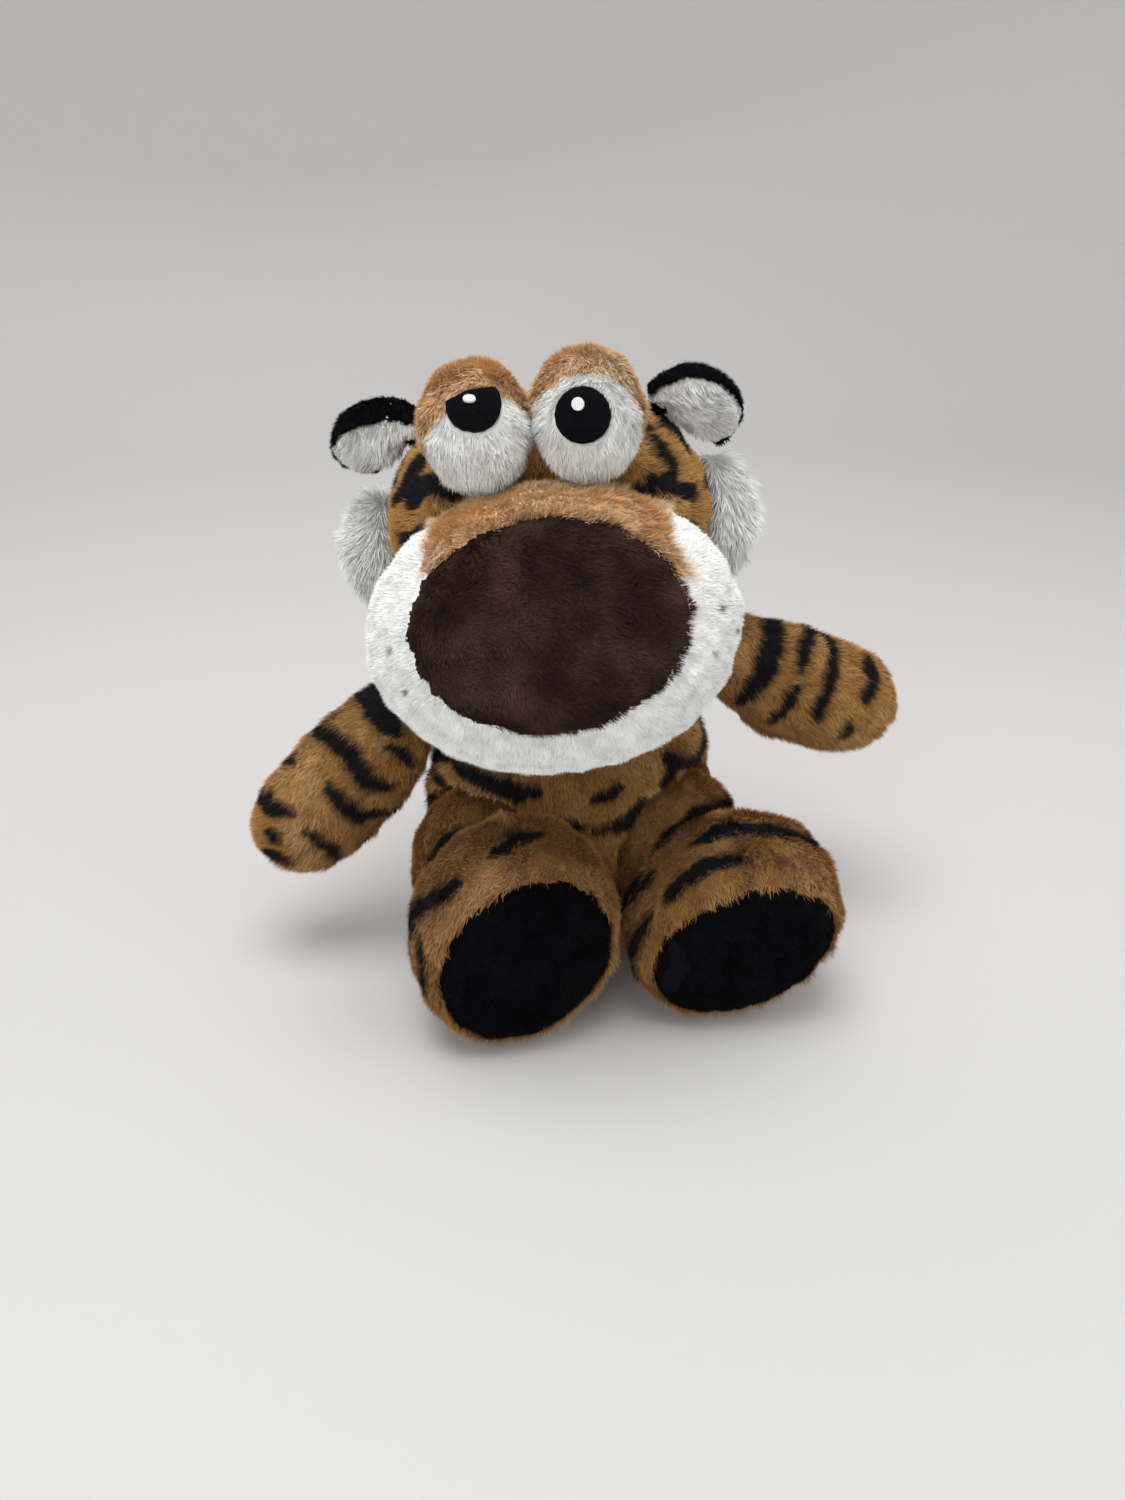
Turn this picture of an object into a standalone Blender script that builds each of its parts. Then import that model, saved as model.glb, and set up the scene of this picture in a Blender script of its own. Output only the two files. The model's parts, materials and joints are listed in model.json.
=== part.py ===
"""A seated plush tiger with a broad muzzle: its sewn panels, stuffing and pellet pouch.

The frame is metres, +Z up. The toy sits on the plane Z = 0 and looks along -Y, with its own left
side at +X. Every stuffed form is a sphere that swells and tapers. Its skin is the wall between two
such forms, sliced into panels at the seams, and its stuffing is a smaller form inside. Each moving
group hangs on an empty that stands on its joint.
"""

import math
from dataclasses import dataclass

import bmesh
import bpy
from mathutils import Matrix, Vector

# Cloth and fits
SKIN = 0.0026
EMBROIDERY = 0.0010
SEAM_GAP = 0.0003
JOINT_GAP = 0.0001
STUFFING_GAP = 0.0004
REACH = 0.400
FLOOR_FLAT = 0.0005

# Torso
TORSO_HALF_WIDTH = 0.0570
TORSO_HALF_DEPTH = 0.0430
TORSO_HALF_HEIGHT = 0.0600
TORSO_FULLNESS = 0.72
TORSO_TAPER = -0.12
TORSO_ASIDE = -0.00348
TORSO_SET_BACK = -0.0004
TORSO_YAW = math.radians(9)
SIDE_SEAM_BACK = 0.0040

# Neck
NECK_RADIUS = 0.0230
NECK_ASIDE = -0.0024
NECK_HEIGHT = 0.1160

# Pellet pouch in the seat
POUCH_HALF_WIDTH = 0.0330
POUCH_HALF_DEPTH = 0.0230
POUCH_HALF_HEIGHT = 0.0130
POUCH_BACK = 0.0060

# Head
HEAD_HALF_WIDTH = 0.0570
HEAD_HALF_DEPTH = 0.0450
HEAD_HALF_HEIGHT = 0.0470
HEAD_RISE = 0.0520
HEAD_BACK = -0.0020
HEAD_ROLL = math.radians(-6)

# Muzzle
MUZZLE_HALF_WIDTH = 0.0590
MUZZLE_HALF_HEIGHT = 0.0455
MUZZLE_HALF_DEPTH = 0.0450
MUZZLE_FORWARD = 0.0620
MUZZLE_RISE = 0.0325
MUZZLE_SEAM_FORWARD = 0.0310
NOSE_HALF_WIDTH = 0.0405
NOSE_HALF_HEIGHT = 0.0310
NOSE_TILT = math.radians(21.5)
BRIDGE_HALF_WIDTH = {"right": 0.0315, "left": 0.0345}
BRIDGE_FLARE = {"right": math.radians(5), "left": math.radians(9)}
BRIDGE_RISE = 0.0255

# Eyes
EYE_HALF_WIDTH = 0.0172
EYE_HALF_DEPTH = 0.0178
EYE_HALF_HEIGHT = 0.0198
EYE_ASIDE = 0.0165
EYE_FORWARD = 0.0500
EYE_RISE = 0.0930
LID_FORWARD = 0.0020
LID_SLOPE = {"right": math.radians(40), "left": math.radians(28)}
LID_ROLL = {"right": math.radians(12), "left": math.radians(2)}
PUPIL_RADIUS = 0.0080
PUPIL_AIM = {"right": math.radians(35), "left": math.radians(12)}
PUPIL_TOE_IN = math.radians(5)
GLINT_RADIUS = 0.0019
GLINT_ASIDE = -0.0011
GLINT_RISE = {"right": 0.0012, "left": 0.0030}

# Ears
EAR_ASIDE = {"right": 0.0415, "left": 0.0398}
EAR_RISE = 0.0845
EAR_FORWARD = 0.0050
EAR_CENTRE = 0.0110
EAR_HALF_LENGTH = 0.0185
EAR_HALF_DEPTH = 0.0120
EAR_HALF_HEIGHT = 0.0175
EAR_BACK_CLOTH = 0.0018
EAR_LINING_CLOTH = 0.0022
EAR_OPEN = {"right": math.radians(40), "left": math.radians(25)}
EAR_DROOP = math.radians(18)
EAR_ROLL_RADIUS = 0.0030
EAR_ROLL_LENGTH = 0.0150
EAR_SWING = (math.radians(-15), math.radians(25))

# Cheek ruffs
RUFF_HALF_WIDTH = 0.0150
RUFF_HALF_DEPTH = 0.0100
RUFF_HALF_HEIGHT = 0.0220
RUFF_ASIDE = {"right": 0.0580, "left": 0.0560}
RUFF_RISE = {"right": 0.0430, "left": 0.0460}
RUFF_BACK = 0.0070

# Arms
SHOULDER_ASIDE = {"right": 0.0462, "left": 0.0430}
SHOULDER_HEIGHT = {"right": 0.1110, "left": 0.1170}
SHOULDER_RADIUS = 0.0140
ARM_CENTRE = {"right": 0.0475, "left": 0.0395}
ARM_HALF_LENGTH = 0.0500
ARM_HALF_WIDTH = 0.0240
ARM_HALF_THICKNESS = 0.0170
ARM_FULLNESS = 0.78
ARM_TAPER = 0.13
ARM_DROOP = {"right": math.radians(46), "left": math.radians(22)}
ARM_SEAM_TURN = math.radians(25)
ARM_SWING = {"right": (math.radians(0), math.radians(35)), "left": (math.radians(-20), math.radians(20))}

# Legs
HIP_ASIDE = 0.0340
HIP_FORWARD = 0.0180
HIP_RADIUS = 0.0300
HIP_HEIGHT = {"right": 0.0448, "left": 0.0476}
LEG_SHIFT = {"right": 0.0, "left": 0.0122}
LEG_TURN = {"right": math.radians(7), "left": math.radians(1.5)}
LEG_DROOP = {"right": math.radians(6.7), "left": math.radians(14)}
LEG_ROLL = {"right": math.radians(22), "left": math.radians(63)}
LEG_CENTRE = 0.0400
LEG_HALF_LENGTH = 0.0270
LEG_HALF_LONG = 0.0413
LEG_HALF_SHORT = 0.0365
LEG_FULLNESS = 0.60
SOLE_SEAM = 0.0580
LEG_SWING = (math.radians(0), math.radians(30))

# Tail
TAIL_HEIGHT = 0.0200
TAIL_SET_BACK = 0.0410
TAIL_ROOT_RADIUS = 0.0090
TAIL_CENTRE = 0.0340
TAIL_HALF_LENGTH = 0.0360
TAIL_HALF_WIDTH = 0.0090
TAIL_FULLNESS = 0.80
TAIL_TIP_SEAM = 0.0480
TAIL_LIFT = math.radians(12)

# Which way each side lies along X
SIDES = {"right": -1, "left": 1}

# Segments and rings of a form, for what shows and for what lies inside
FINE = (16, 10)
INSIDE = (12, 8)
SMALL = (12, 8)
SMALL_INSIDE = (8, 6)

# Segments of the rods that bound the nose, the pupils and their glints, and of the ear's roll
NOSE_SEGMENTS = 24
PUPIL_SEGMENTS = 16
GLINT_SEGMENTS = 10
ROLL_SEGMENTS = 12

# Edges that turn by more than this stay sharp
SHARP_ANGLE = math.radians(40)

# Base colour and roughness of each cloth, thread and filling
CLOTHS = {
    "tiger_plush": ((0.42, 0.21, 0.07), 0.90),
    "white_plush": ((0.84, 0.84, 0.82), 0.90),
    "tan_plush": ((0.55, 0.32, 0.15), 0.90),
    "brown_plush": ((0.085, 0.042, 0.032), 0.90),
    "black_plush": ((0.008, 0.008, 0.012), 0.88),
    "white_long_fur": ((0.80, 0.80, 0.78), 0.92),
    "black_thread": ((0.006, 0.006, 0.010), 0.60),
    "white_thread": ((0.85, 0.85, 0.85), 0.60),
    "fibre_fill": ((0.90, 0.90, 0.88), 0.95),
    "pouch_cloth": ((0.75, 0.73, 0.68), 0.85),
}


@dataclass
class Form:
    """A stuffed form with its long axis along Z of its own frame."""

    half: tuple
    frame: Matrix
    mesh_size: tuple = FINE
    fullness: float = 1.0
    taper: float = 0.0

    def solid(self, grow=0.0, mesh_size=None):
        """A new object of this form, with every half size changed by grow."""
        segments, rings = mesh_size or self.mesh_size
        half = [size + grow for size in self.half]
        bm = bmesh.new()
        bmesh.ops.create_uvsphere(bm, u_segments=segments, v_segments=rings, radius=1)
        for vert in bm.verts:
            around = math.sqrt(max(0.0, 1 - vert.co.z ** 2))
            height = math.copysign(abs(vert.co.z) ** self.fullness, vert.co.z)
            width = max(around, 1 / segments ** 2) ** (self.fullness - 1) * (1 + self.taper * height)
            vert.co = (vert.co.x * width * half[0], vert.co.y * width * half[1], height * half[2])
        bmesh.ops.triangulate(bm, faces=bm.faces, quad_method="FIXED")
        return object_from(bm, "form", self.frame)


def ball(centre, radius, mesh_size=FINE):
    """A round form about a joint."""
    return Form((radius, radius, radius), Matrix.Translation(centre), mesh_size)


def facet_margin(radius, mesh_size):
    """How much wider a faceted ball is at its corners than at the middle of its facets."""
    segments, rings = mesh_size
    return radius / (math.cos(math.pi / segments) * math.cos(math.pi / (2 * rings))) - radius


def socket(centre, radius, mesh_size, gap=JOINT_GAP):
    """The hollow in which a faceted ball of this radius turns freely."""
    return ball(centre, radius, mesh_size).solid(gap + facet_margin(radius, mesh_size))


def object_from(bm, name, frame):
    """A new object from a bmesh, which it frees, among the solids still being shaped."""
    bmesh.ops.recalc_face_normals(bm, faces=bm.faces)
    mesh = bpy.data.meshes.new(name)
    bm.to_mesh(mesh)
    bm.free()
    mesh.transform(frame)
    obj = bpy.data.objects.new(name, mesh)
    bpy.data.collections["cutters"].objects.link(obj)
    return obj


def twin(obj):
    """A second copy of a solid with its own mesh."""
    copy = obj.copy()
    copy.data = obj.data.copy()
    bpy.data.collections["cutters"].objects.link(copy)
    return copy


def half_space(point, normal):
    """A block that fills the space on the normal's side of a plane."""
    turn = Vector(normal).to_track_quat("Z", "Y").to_matrix().to_4x4()
    bm = bmesh.new()
    bmesh.ops.create_cube(bm, size=REACH)
    ahead = Matrix.Translation((0, 0, REACH / 2))
    return object_from(bm, "half_space", Matrix.Translation(point) @ turn @ ahead)


def oval_rod(half_width, half_height, frame, segments):
    """An oval rod from the frame's origin along its Z axis."""
    bm = bmesh.new()
    depth = REACH / 2
    bmesh.ops.create_cone(bm, cap_ends=True, segments=segments, radius1=1, radius2=1, depth=depth)
    bmesh.ops.scale(bm, vec=(half_width, half_height, 1), verts=bm.verts)
    return object_from(bm, "rod", frame @ Matrix.Translation((0, 0, depth / 2)))


def combine(target, tool, operation):
    """Unites, cuts or intersects target with tool, and removes tool."""
    modifier = target.modifiers.new(operation.title(), "BOOLEAN")
    modifier.operation = operation
    modifier.object = tool
    graph = bpy.context.evaluated_depsgraph_get()
    mesh = bpy.data.meshes.new_from_object(target.evaluated_get(graph))
    target.modifiers.clear()
    target.data = mesh
    bpy.data.objects.remove(tool)
    return target


def cut(target, *tools):
    """Removes each tool's volume from target."""
    for tool in tools:
        combine(target, tool, "DIFFERENCE")
    return target


def union(target, tool):
    """Joins tool to target as one body."""
    return combine(target, tool, "UNION")


def one_side(target, point, normal, way):
    """Keeps what lies beyond a seam plane, half a seam gap away, on the normal's side times way."""
    normal = Vector(normal) * way
    return cut(target, half_space(Vector(point) + normal * SEAM_GAP / 2, -normal))


def swung(make_solid, centre, axis, angles):
    """Copies of a solid, each as a swinging limb meets it when it has turned by one of the angles."""
    for angle in angles:
        solid = make_solid()
        back = Matrix.Translation(centre) @ Matrix.Rotation(-angle, 4, axis) @ Matrix.Translation(-centre)
        solid.data.transform(back)
        yield solid


def finish_part(obj, name, cloth, parent):
    """Names and dresses a part, and hangs it on its joint's empty."""
    obj.name = name
    obj.data.name = name
    bpy.data.collections["cutters"].objects.unlink(obj)
    bpy.data.collections["plush_tiger"].objects.link(obj)
    obj.data.transform(parent.matrix_world.inverted())
    obj.parent = parent
    obj.data.materials.clear()
    obj.data.materials.append(bpy.data.materials[cloth])
    obj.data.shade_smooth()
    obj.data.set_sharp_from_angle(angle=SHARP_ANGLE)
    return obj


def joint_empty(name, frame, parent=None):
    """An empty that stands on a joint, given in world space."""
    empty = bpy.data.objects.new(name, None)
    empty.empty_display_size = NECK_RADIUS
    bpy.data.collections["plush_tiger"].objects.link(empty)
    empty.parent = parent
    empty.matrix_world = frame
    bpy.context.view_layer.update()
    return empty


def rotation(axis, angle):
    """A turn about one axis as a 4 x 4 matrix."""
    return Matrix.Rotation(angle, 4, axis)


def shift(x, y, z):
    """A move as a 4 x 4 matrix."""
    return Matrix.Translation((x, y, z))


def direction(frame, x, y, z):
    """A direction of a frame in world space."""
    return frame.to_3x3() @ Vector((x, y, z))


def torso_frame():
    """On the floor under the torso's middle, turned a little to the toy's left."""
    return shift(TORSO_ASIDE, TORSO_SET_BACK, 0) @ rotation("Z", TORSO_YAW)


def neck_frame():
    """On the neck joint, facing ahead and rolled as the head leans."""
    neck = torso_frame() @ shift(NECK_ASIDE, 0, NECK_HEIGHT)
    return neck @ rotation("Z", -TORSO_YAW) @ rotation("Y", HEAD_ROLL)


def shoulder_frame(side):
    """On the shoulder, with its hinge along Y and the arm along Z."""
    sign = SIDES[side]
    place = torso_frame() @ shift(sign * SHOULDER_ASIDE[side], 0, SHOULDER_HEIGHT[side])
    return place @ rotation("Y", sign * (math.pi / 2 + ARM_DROOP[side]))


def hip_frame(side):
    """On the hip, with its hinge along Z and the leg along -Y."""
    place = torso_frame() @ shift(SIDES[side] * HIP_ASIDE, -HIP_FORWARD, HIP_HEIGHT[side])
    return place @ rotation("Z", LEG_TURN[side])


def leg_frame(side):
    """The leg along Z, with the sole's long axis along Y."""
    place = hip_frame(side) @ shift(LEG_SHIFT[side], 0, 0)
    return place @ rotation("X", math.pi / 2 + LEG_DROOP[side]) @ rotation("Z", -LEG_ROLL[side])


def tail_frame():
    """On the tail's root, with the tail along Z."""
    return torso_frame() @ shift(0, TAIL_SET_BACK, TAIL_HEIGHT) @ rotation("X", -math.pi / 2 + TAIL_LIFT)


def floor_cut(obj):
    """Cuts a form flat where it rests on the floor."""
    return cut(obj, half_space((0, 0, 0), (0, 0, -1)))


def torso_barrel():
    """The torso below its neck."""
    half = (TORSO_HALF_WIDTH, TORSO_HALF_DEPTH, TORSO_HALF_HEIGHT)
    frame = torso_frame() @ shift(0, 0, TORSO_HALF_HEIGHT - FLOOR_FLAT)
    return Form(half, frame, FINE, TORSO_FULLNESS, TORSO_TAPER)


def torso_outer(grow=0.0, mesh_size=FINE):
    """The torso and the round stump of its neck, changed by grow."""
    neck = ball(neck_frame().translation, NECK_RADIUS, mesh_size)
    return union(torso_barrel().solid(grow, mesh_size), neck.solid(grow))


def limb_sockets(mesh_size=None):
    """The hollows in the torso that the arms, legs and tail turn in."""
    for side in SIDES:
        yield socket(shoulder_frame(side).translation, SHOULDER_RADIUS, SMALL)
        yield socket(hip_frame(side).translation, HIP_RADIUS, mesh_size or FINE)
    yield socket(tail_frame().translation, TAIL_ROOT_RADIUS, SMALL)


def wad_radius():
    """The neck wad's radius, which turns inside the neck's faceted skin."""
    inner = NECK_RADIUS - SKIN
    return inner - facet_margin(inner, INSIDE) - JOINT_GAP


def build_torso(root):
    """Four striped panels, the stuffing and the pouch of pellets that makes the toy sit."""
    frame = torso_frame()
    shell = cut(torso_outer(), torso_outer(-SKIN, INSIDE), *limb_sockets())
    floor_cut(shell)
    side_seam = frame @ Vector((0, SIDE_SEAM_BACK, 0))
    for side, sign in SIDES.items():
        for place, way in (("front", -1), ("back", 1)):
            panel = one_side(twin(shell), frame.translation, direction(frame, 1, 0, 0), sign)
            one_side(panel, side_seam, direction(frame, 0, 1, 0), way)
            finish_part(panel, f"torso_{place}_{side}_panel", "tiger_plush", root)
    bpy.data.objects.remove(shell)
    inset = SKIN + STUFFING_GAP
    half = (POUCH_HALF_WIDTH, POUCH_HALF_DEPTH, POUCH_HALF_HEIGHT)
    pouch = Form(half, frame @ shift(0, POUCH_BACK, inset + POUCH_HALF_HEIGHT), SMALL_INSIDE)
    filling = cut(torso_barrel().solid(-inset, INSIDE), *limb_sockets(INSIDE), pouch.solid(SEAM_GAP))
    cut(filling, socket(neck_frame().translation, wad_radius(), FINE))
    finish_part(filling, "torso_stuffing", "fibre_fill", root)
    finish_part(cut(pouch.solid(), *limb_sockets(INSIDE)), "pellet_pouch", "pouch_cloth", root)


def build_neck_wad(root):
    """The firm wad of filling in the neck, on which the head turns and nods."""
    frame = torso_frame() @ shift(NECK_ASIDE, 0, NECK_HEIGHT)
    joint = joint_empty("neck_turn_joint", frame, root)
    wad = ball(frame.translation, wad_radius()).solid()
    finish_part(wad, "neck_wad", "fibre_fill", joint)
    return joint


def arm_outer(side, grow=0.0, mesh_size=SMALL):
    """An arm with its round root, changed by grow and clear of the torso all through its swing."""
    frame = shoulder_frame(side)
    half = (ARM_HALF_WIDTH, ARM_HALF_THICKNESS, ARM_HALF_LENGTH)
    arm = Form(half, frame @ shift(0, 0, ARM_CENTRE[side]), mesh_size, ARM_FULLNESS, ARM_TAPER).solid(grow)
    axis = direction(frame, 0, -SIDES[side], 0)
    cut(arm, *swung(lambda: torso_outer(SEAM_GAP - grow), frame.translation, axis, ARM_SWING[side][:1]))
    return union(arm, ball(frame.translation, SHOULDER_RADIUS, mesh_size).solid(grow))


def build_arm(side, root):
    """An upper and a lower striped panel round their stuffing."""
    frame = shoulder_frame(side)
    joint = joint_empty(f"{side}_shoulder_joint", frame, root)
    sign = SIDES[side]
    seam = direction(frame @ rotation("Z", sign * ARM_SEAM_TURN), -sign, 0, 0)
    shell = cut(arm_outer(side), arm_outer(side, -SKIN, SMALL_INSIDE))
    for place, way in (("upper", 1), ("lower", -1)):
        panel = one_side(twin(shell), frame.translation, seam, way)
        finish_part(panel, f"{side}_arm_{place}_panel", "tiger_plush", joint)
    bpy.data.objects.remove(shell)
    filling = arm_outer(side, -SKIN - STUFFING_GAP, SMALL_INSIDE)
    finish_part(filling, f"{side}_arm_stuffing", "fibre_fill", joint)


def leg_outer(side, grow=0.0, mesh_size=FINE):
    """A leg with its round root, changed by grow and clear of the torso all through its swing."""
    hip = hip_frame(side)
    half = (LEG_HALF_SHORT, LEG_HALF_LONG, LEG_HALF_LENGTH)
    leg = Form(half, leg_frame(side) @ shift(0, 0, LEG_CENTRE), mesh_size, LEG_FULLNESS).solid(grow)
    axis = direction(hip, 0, 0, SIDES[side])
    cut(leg, *swung(lambda: torso_outer(SEAM_GAP - grow), hip.translation, axis, LEG_SWING))
    return union(leg, ball(hip.translation, HIP_RADIUS, mesh_size).solid(grow))


def build_leg(side, root):
    """Two striped panels, the black sole pad and the stuffing."""
    frame = leg_frame(side)
    joint = joint_empty(f"{side}_hip_joint", hip_frame(side), root)
    shell = floor_cut(cut(leg_outer(side), leg_outer(side, -SKIN, INSIDE)))
    seam = frame @ Vector((0, 0, SOLE_SEAM))
    along = direction(frame, 0, 0, 1)
    sole = one_side(twin(shell), seam, along, 1)
    finish_part(sole, f"{side}_sole_pad", "black_plush", joint)
    one_side(shell, seam, along, -1)
    across = direction(hip_frame(side), 1, 0, 0)
    for place, way in (("outer", SIDES[side]), ("inner", -SIDES[side])):
        panel = one_side(twin(shell), frame.translation, across, way)
        finish_part(panel, f"{side}_leg_{place}_panel", "tiger_plush", joint)
    bpy.data.objects.remove(shell)
    filling = leg_outer(side, -SKIN - STUFFING_GAP, INSIDE)
    finish_part(filling, f"{side}_leg_stuffing", "fibre_fill", joint)


def tail_outer(grow=0.0, mesh_size=SMALL):
    """The tail with its round root, changed by grow."""
    frame = tail_frame()
    half = (TAIL_HALF_WIDTH, TAIL_HALF_WIDTH, TAIL_HALF_LENGTH)
    tail = Form(half, frame @ shift(0, 0, TAIL_CENTRE), mesh_size, TAIL_FULLNESS)
    return union(tail.solid(grow), ball(frame.translation, TAIL_ROOT_RADIUS, mesh_size).solid(grow))


def build_tail(root):
    """A striped sleeve, its black tip and the stuffing."""
    frame = tail_frame()
    joint = joint_empty("tail_joint", frame, root)
    seam = frame @ Vector((0, 0, TAIL_TIP_SEAM))
    for name, cloth, way in (("tail_sleeve", "tiger_plush", -1), ("tail_tip", "black_plush", 1)):
        shell = cut(tail_outer(), tail_outer(-SKIN, SMALL_INSIDE))
        finish_part(one_side(shell, seam, direction(frame, 0, 0, 1), way), name, cloth, joint)
    finish_part(tail_outer(-SKIN - STUFFING_GAP, SMALL_INSIDE), "tail_stuffing", "fibre_fill", joint)


def head_form():
    """The head behind the muzzle."""
    half = (HEAD_HALF_WIDTH, HEAD_HALF_DEPTH, HEAD_HALF_HEIGHT)
    return Form(half, neck_frame() @ shift(0, HEAD_BACK, HEAD_RISE))


def muzzle_form():
    """The broad muzzle, with its own Z axis ahead."""
    half = (MUZZLE_HALF_WIDTH, MUZZLE_HALF_HEIGHT, MUZZLE_HALF_DEPTH)
    return Form(half, neck_frame() @ shift(0, -MUZZLE_FORWARD, MUZZLE_RISE) @ rotation("X", math.pi / 2))


def muzzle_seam(target, way):
    """Keeps the muzzle's side of the seam between head and muzzle, way 1, or the head's, way -1."""
    frame = neck_frame()
    return one_side(target, frame @ Vector((0, -MUZZLE_SEAM_FORWARD, 0)), direction(frame, 0, -1, 0), way)


def ear_frame(side):
    """On the root of an ear, with its hinge along Y and the ear outwards along Z."""
    sign = SIDES[side]
    place = neck_frame() @ shift(sign * EAR_ASIDE[side], -EAR_FORWARD, EAR_RISE)
    return place @ rotation("Y", sign * (math.pi / 2 + EAR_DROOP))


def ear_roll(side, grow=0.0):
    """The rolled edge of cloth that holds an ear in the head's seam."""
    bm = bmesh.new()
    radius = EAR_ROLL_RADIUS + grow
    length = EAR_ROLL_LENGTH + 2 * grow
    ends = {"radius1": radius, "radius2": radius}
    bmesh.ops.create_cone(bm, cap_ends=True, segments=ROLL_SEGMENTS, depth=length, **ends)
    return object_from(bm, "roll", ear_frame(side) @ rotation("X", math.pi / 2))


def build_head(head):
    """Two striped halves round the stuffing, open at the muzzle and at the neck."""
    frame = neck_frame()
    form = head_form()
    for side, sign in SIDES.items():
        panel = muzzle_seam(cut(form.solid(), form.solid(-SKIN, INSIDE)), -1)
        cut(panel, socket(frame.translation, NECK_RADIUS, FINE), ear_roll(side, SEAM_GAP))
        one_side(panel, frame.translation, direction(frame, 1, 0, 0), sign)
        finish_part(panel, f"head_{side}_panel", "tiger_plush", head)
    filling = muzzle_seam(form.solid(-SKIN - STUFFING_GAP, INSIDE), -1)
    cut(filling, socket(frame.translation, NECK_RADIUS, FINE))
    for side in SIDES:
        cut(filling, ear_roll(side, SEAM_GAP))
    finish_part(filling, "head_stuffing", "fibre_fill", head)


def nose_rod(grow=0.0):
    """The oval that bounds the nose panel, aimed a little upwards."""
    frame = muzzle_form().frame @ rotation("X", -NOSE_TILT)
    return oval_rod(NOSE_HALF_WIDTH + grow, NOSE_HALF_HEIGHT + grow, frame, NOSE_SEGMENTS)


def bridge_block(grow=0.0):
    """The wedge that bounds the tan bridge between the eyes and the nose."""
    frame = neck_frame() @ shift(0, -MUZZLE_SEAM_FORWARD, MUZZLE_RISE + BRIDGE_RISE - grow)
    block = half_space(frame.translation, direction(frame, 0, 0, 1))
    for side, sign in SIDES.items():
        edge = frame @ Vector((sign * (BRIDGE_HALF_WIDTH[side] + grow), 0, 0))
        turned = frame @ rotation("Z", sign * BRIDGE_FLARE[side])
        cut(block, half_space(edge, direction(turned, sign, 0, 0)))
    return block


def build_muzzle(head):
    """A white panel on each side, the tan bridge, the brown nose and the stuffing."""
    frame = neck_frame()
    form = muzzle_form()
    shell = muzzle_seam(cut(form.solid(), form.solid(-SKIN, INSIDE)), 1)
    nose = combine(twin(shell), nose_rod(), "INTERSECT")
    finish_part(nose, "nose_panel", "brown_plush", head)
    bridge = combine(twin(shell), bridge_block(), "INTERSECT")
    finish_part(cut(bridge, nose_rod(SEAM_GAP)), "muzzle_bridge_panel", "tan_plush", head)
    for side, sign in SIDES.items():
        white = cut(twin(shell), nose_rod(SEAM_GAP), bridge_block(SEAM_GAP))
        one_side(white, frame.translation, direction(frame, 1, 0, 0), sign)
        finish_part(white, f"muzzle_{side}_panel", "white_plush", head)
    bpy.data.objects.remove(shell)
    filling = muzzle_seam(form.solid(-SKIN - STUFFING_GAP, INSIDE), 1)
    finish_part(filling, "muzzle_stuffing", "fibre_fill", head)


def press_eye(obj, side):
    """Shapes an eye where the head, the muzzle and the other eye press on it."""
    frame = neck_frame()
    cut(obj, head_form().solid(SEAM_GAP), muzzle_form().solid(SEAM_GAP))
    return one_side(obj, frame.translation, direction(frame, 1, 0, 0), SIDES[side])


def build_eye(side, head):
    """A white panel, a tan lid, the embroidered pupil with its glint, and the stuffing."""
    frame = neck_frame()
    half = (EYE_HALF_WIDTH, EYE_HALF_DEPTH, EYE_HALF_HEIGHT)
    form = Form(half, frame @ shift(SIDES[side] * EYE_ASIDE, -EYE_FORWARD, EYE_RISE), SMALL)
    slope = LID_SLOPE[side]
    roll = LID_ROLL[side]
    down = math.cos(roll) * math.sin(slope)
    lid_normal = direction(frame, -SIDES[side] * math.sin(roll), -math.cos(roll) * math.cos(slope), -down)
    lid_edge = form.frame.translation + lid_normal * LID_FORWARD
    for name, cloth, way in ((f"{side}_eye_panel", "white_plush", 1), (f"{side}_eyelid", "tan_plush", -1)):
        panel = one_side(cut(form.solid(), form.solid(-SKIN, SMALL_INSIDE)), lid_edge, lid_normal, way)
        finish_part(press_eye(panel, side), name, cloth, head)
    filling = press_eye(form.solid(-SKIN - STUFFING_GAP, SMALL_INSIDE), side)
    finish_part(filling, f"{side}_eye_stuffing", "fibre_fill", head)
    aim = PUPIL_AIM[side]
    inward = -SIDES[side] * math.sin(PUPIL_TOE_IN)
    ahead = direction(frame, inward, -math.cos(aim), math.sin(aim))
    aimed = Matrix.Translation(form.frame.translation) @ ahead.to_track_quat("Z", "Y").to_matrix().to_4x4()
    pupil_rod = oval_rod(PUPIL_RADIUS, PUPIL_RADIUS, aimed, PUPIL_SEGMENTS)
    pupil = combine(form.solid(SEAM_GAP + EMBROIDERY), pupil_rod, "INTERSECT")
    one_side(cut(pupil, form.solid(SEAM_GAP)), lid_edge, lid_normal, 1)
    finish_part(pupil, f"{side}_pupil", "black_thread", head)
    over = 2 * SEAM_GAP + EMBROIDERY
    glint_place = aimed @ shift(GLINT_ASIDE, GLINT_RISE[side], 0)
    glint_rod = oval_rod(GLINT_RADIUS, GLINT_RADIUS, glint_place, GLINT_SEGMENTS)
    glint = cut(combine(form.solid(over + EMBROIDERY), glint_rod, "INTERSECT"), form.solid(over))
    finish_part(glint, f"{side}_glint", "white_thread", head)


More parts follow.
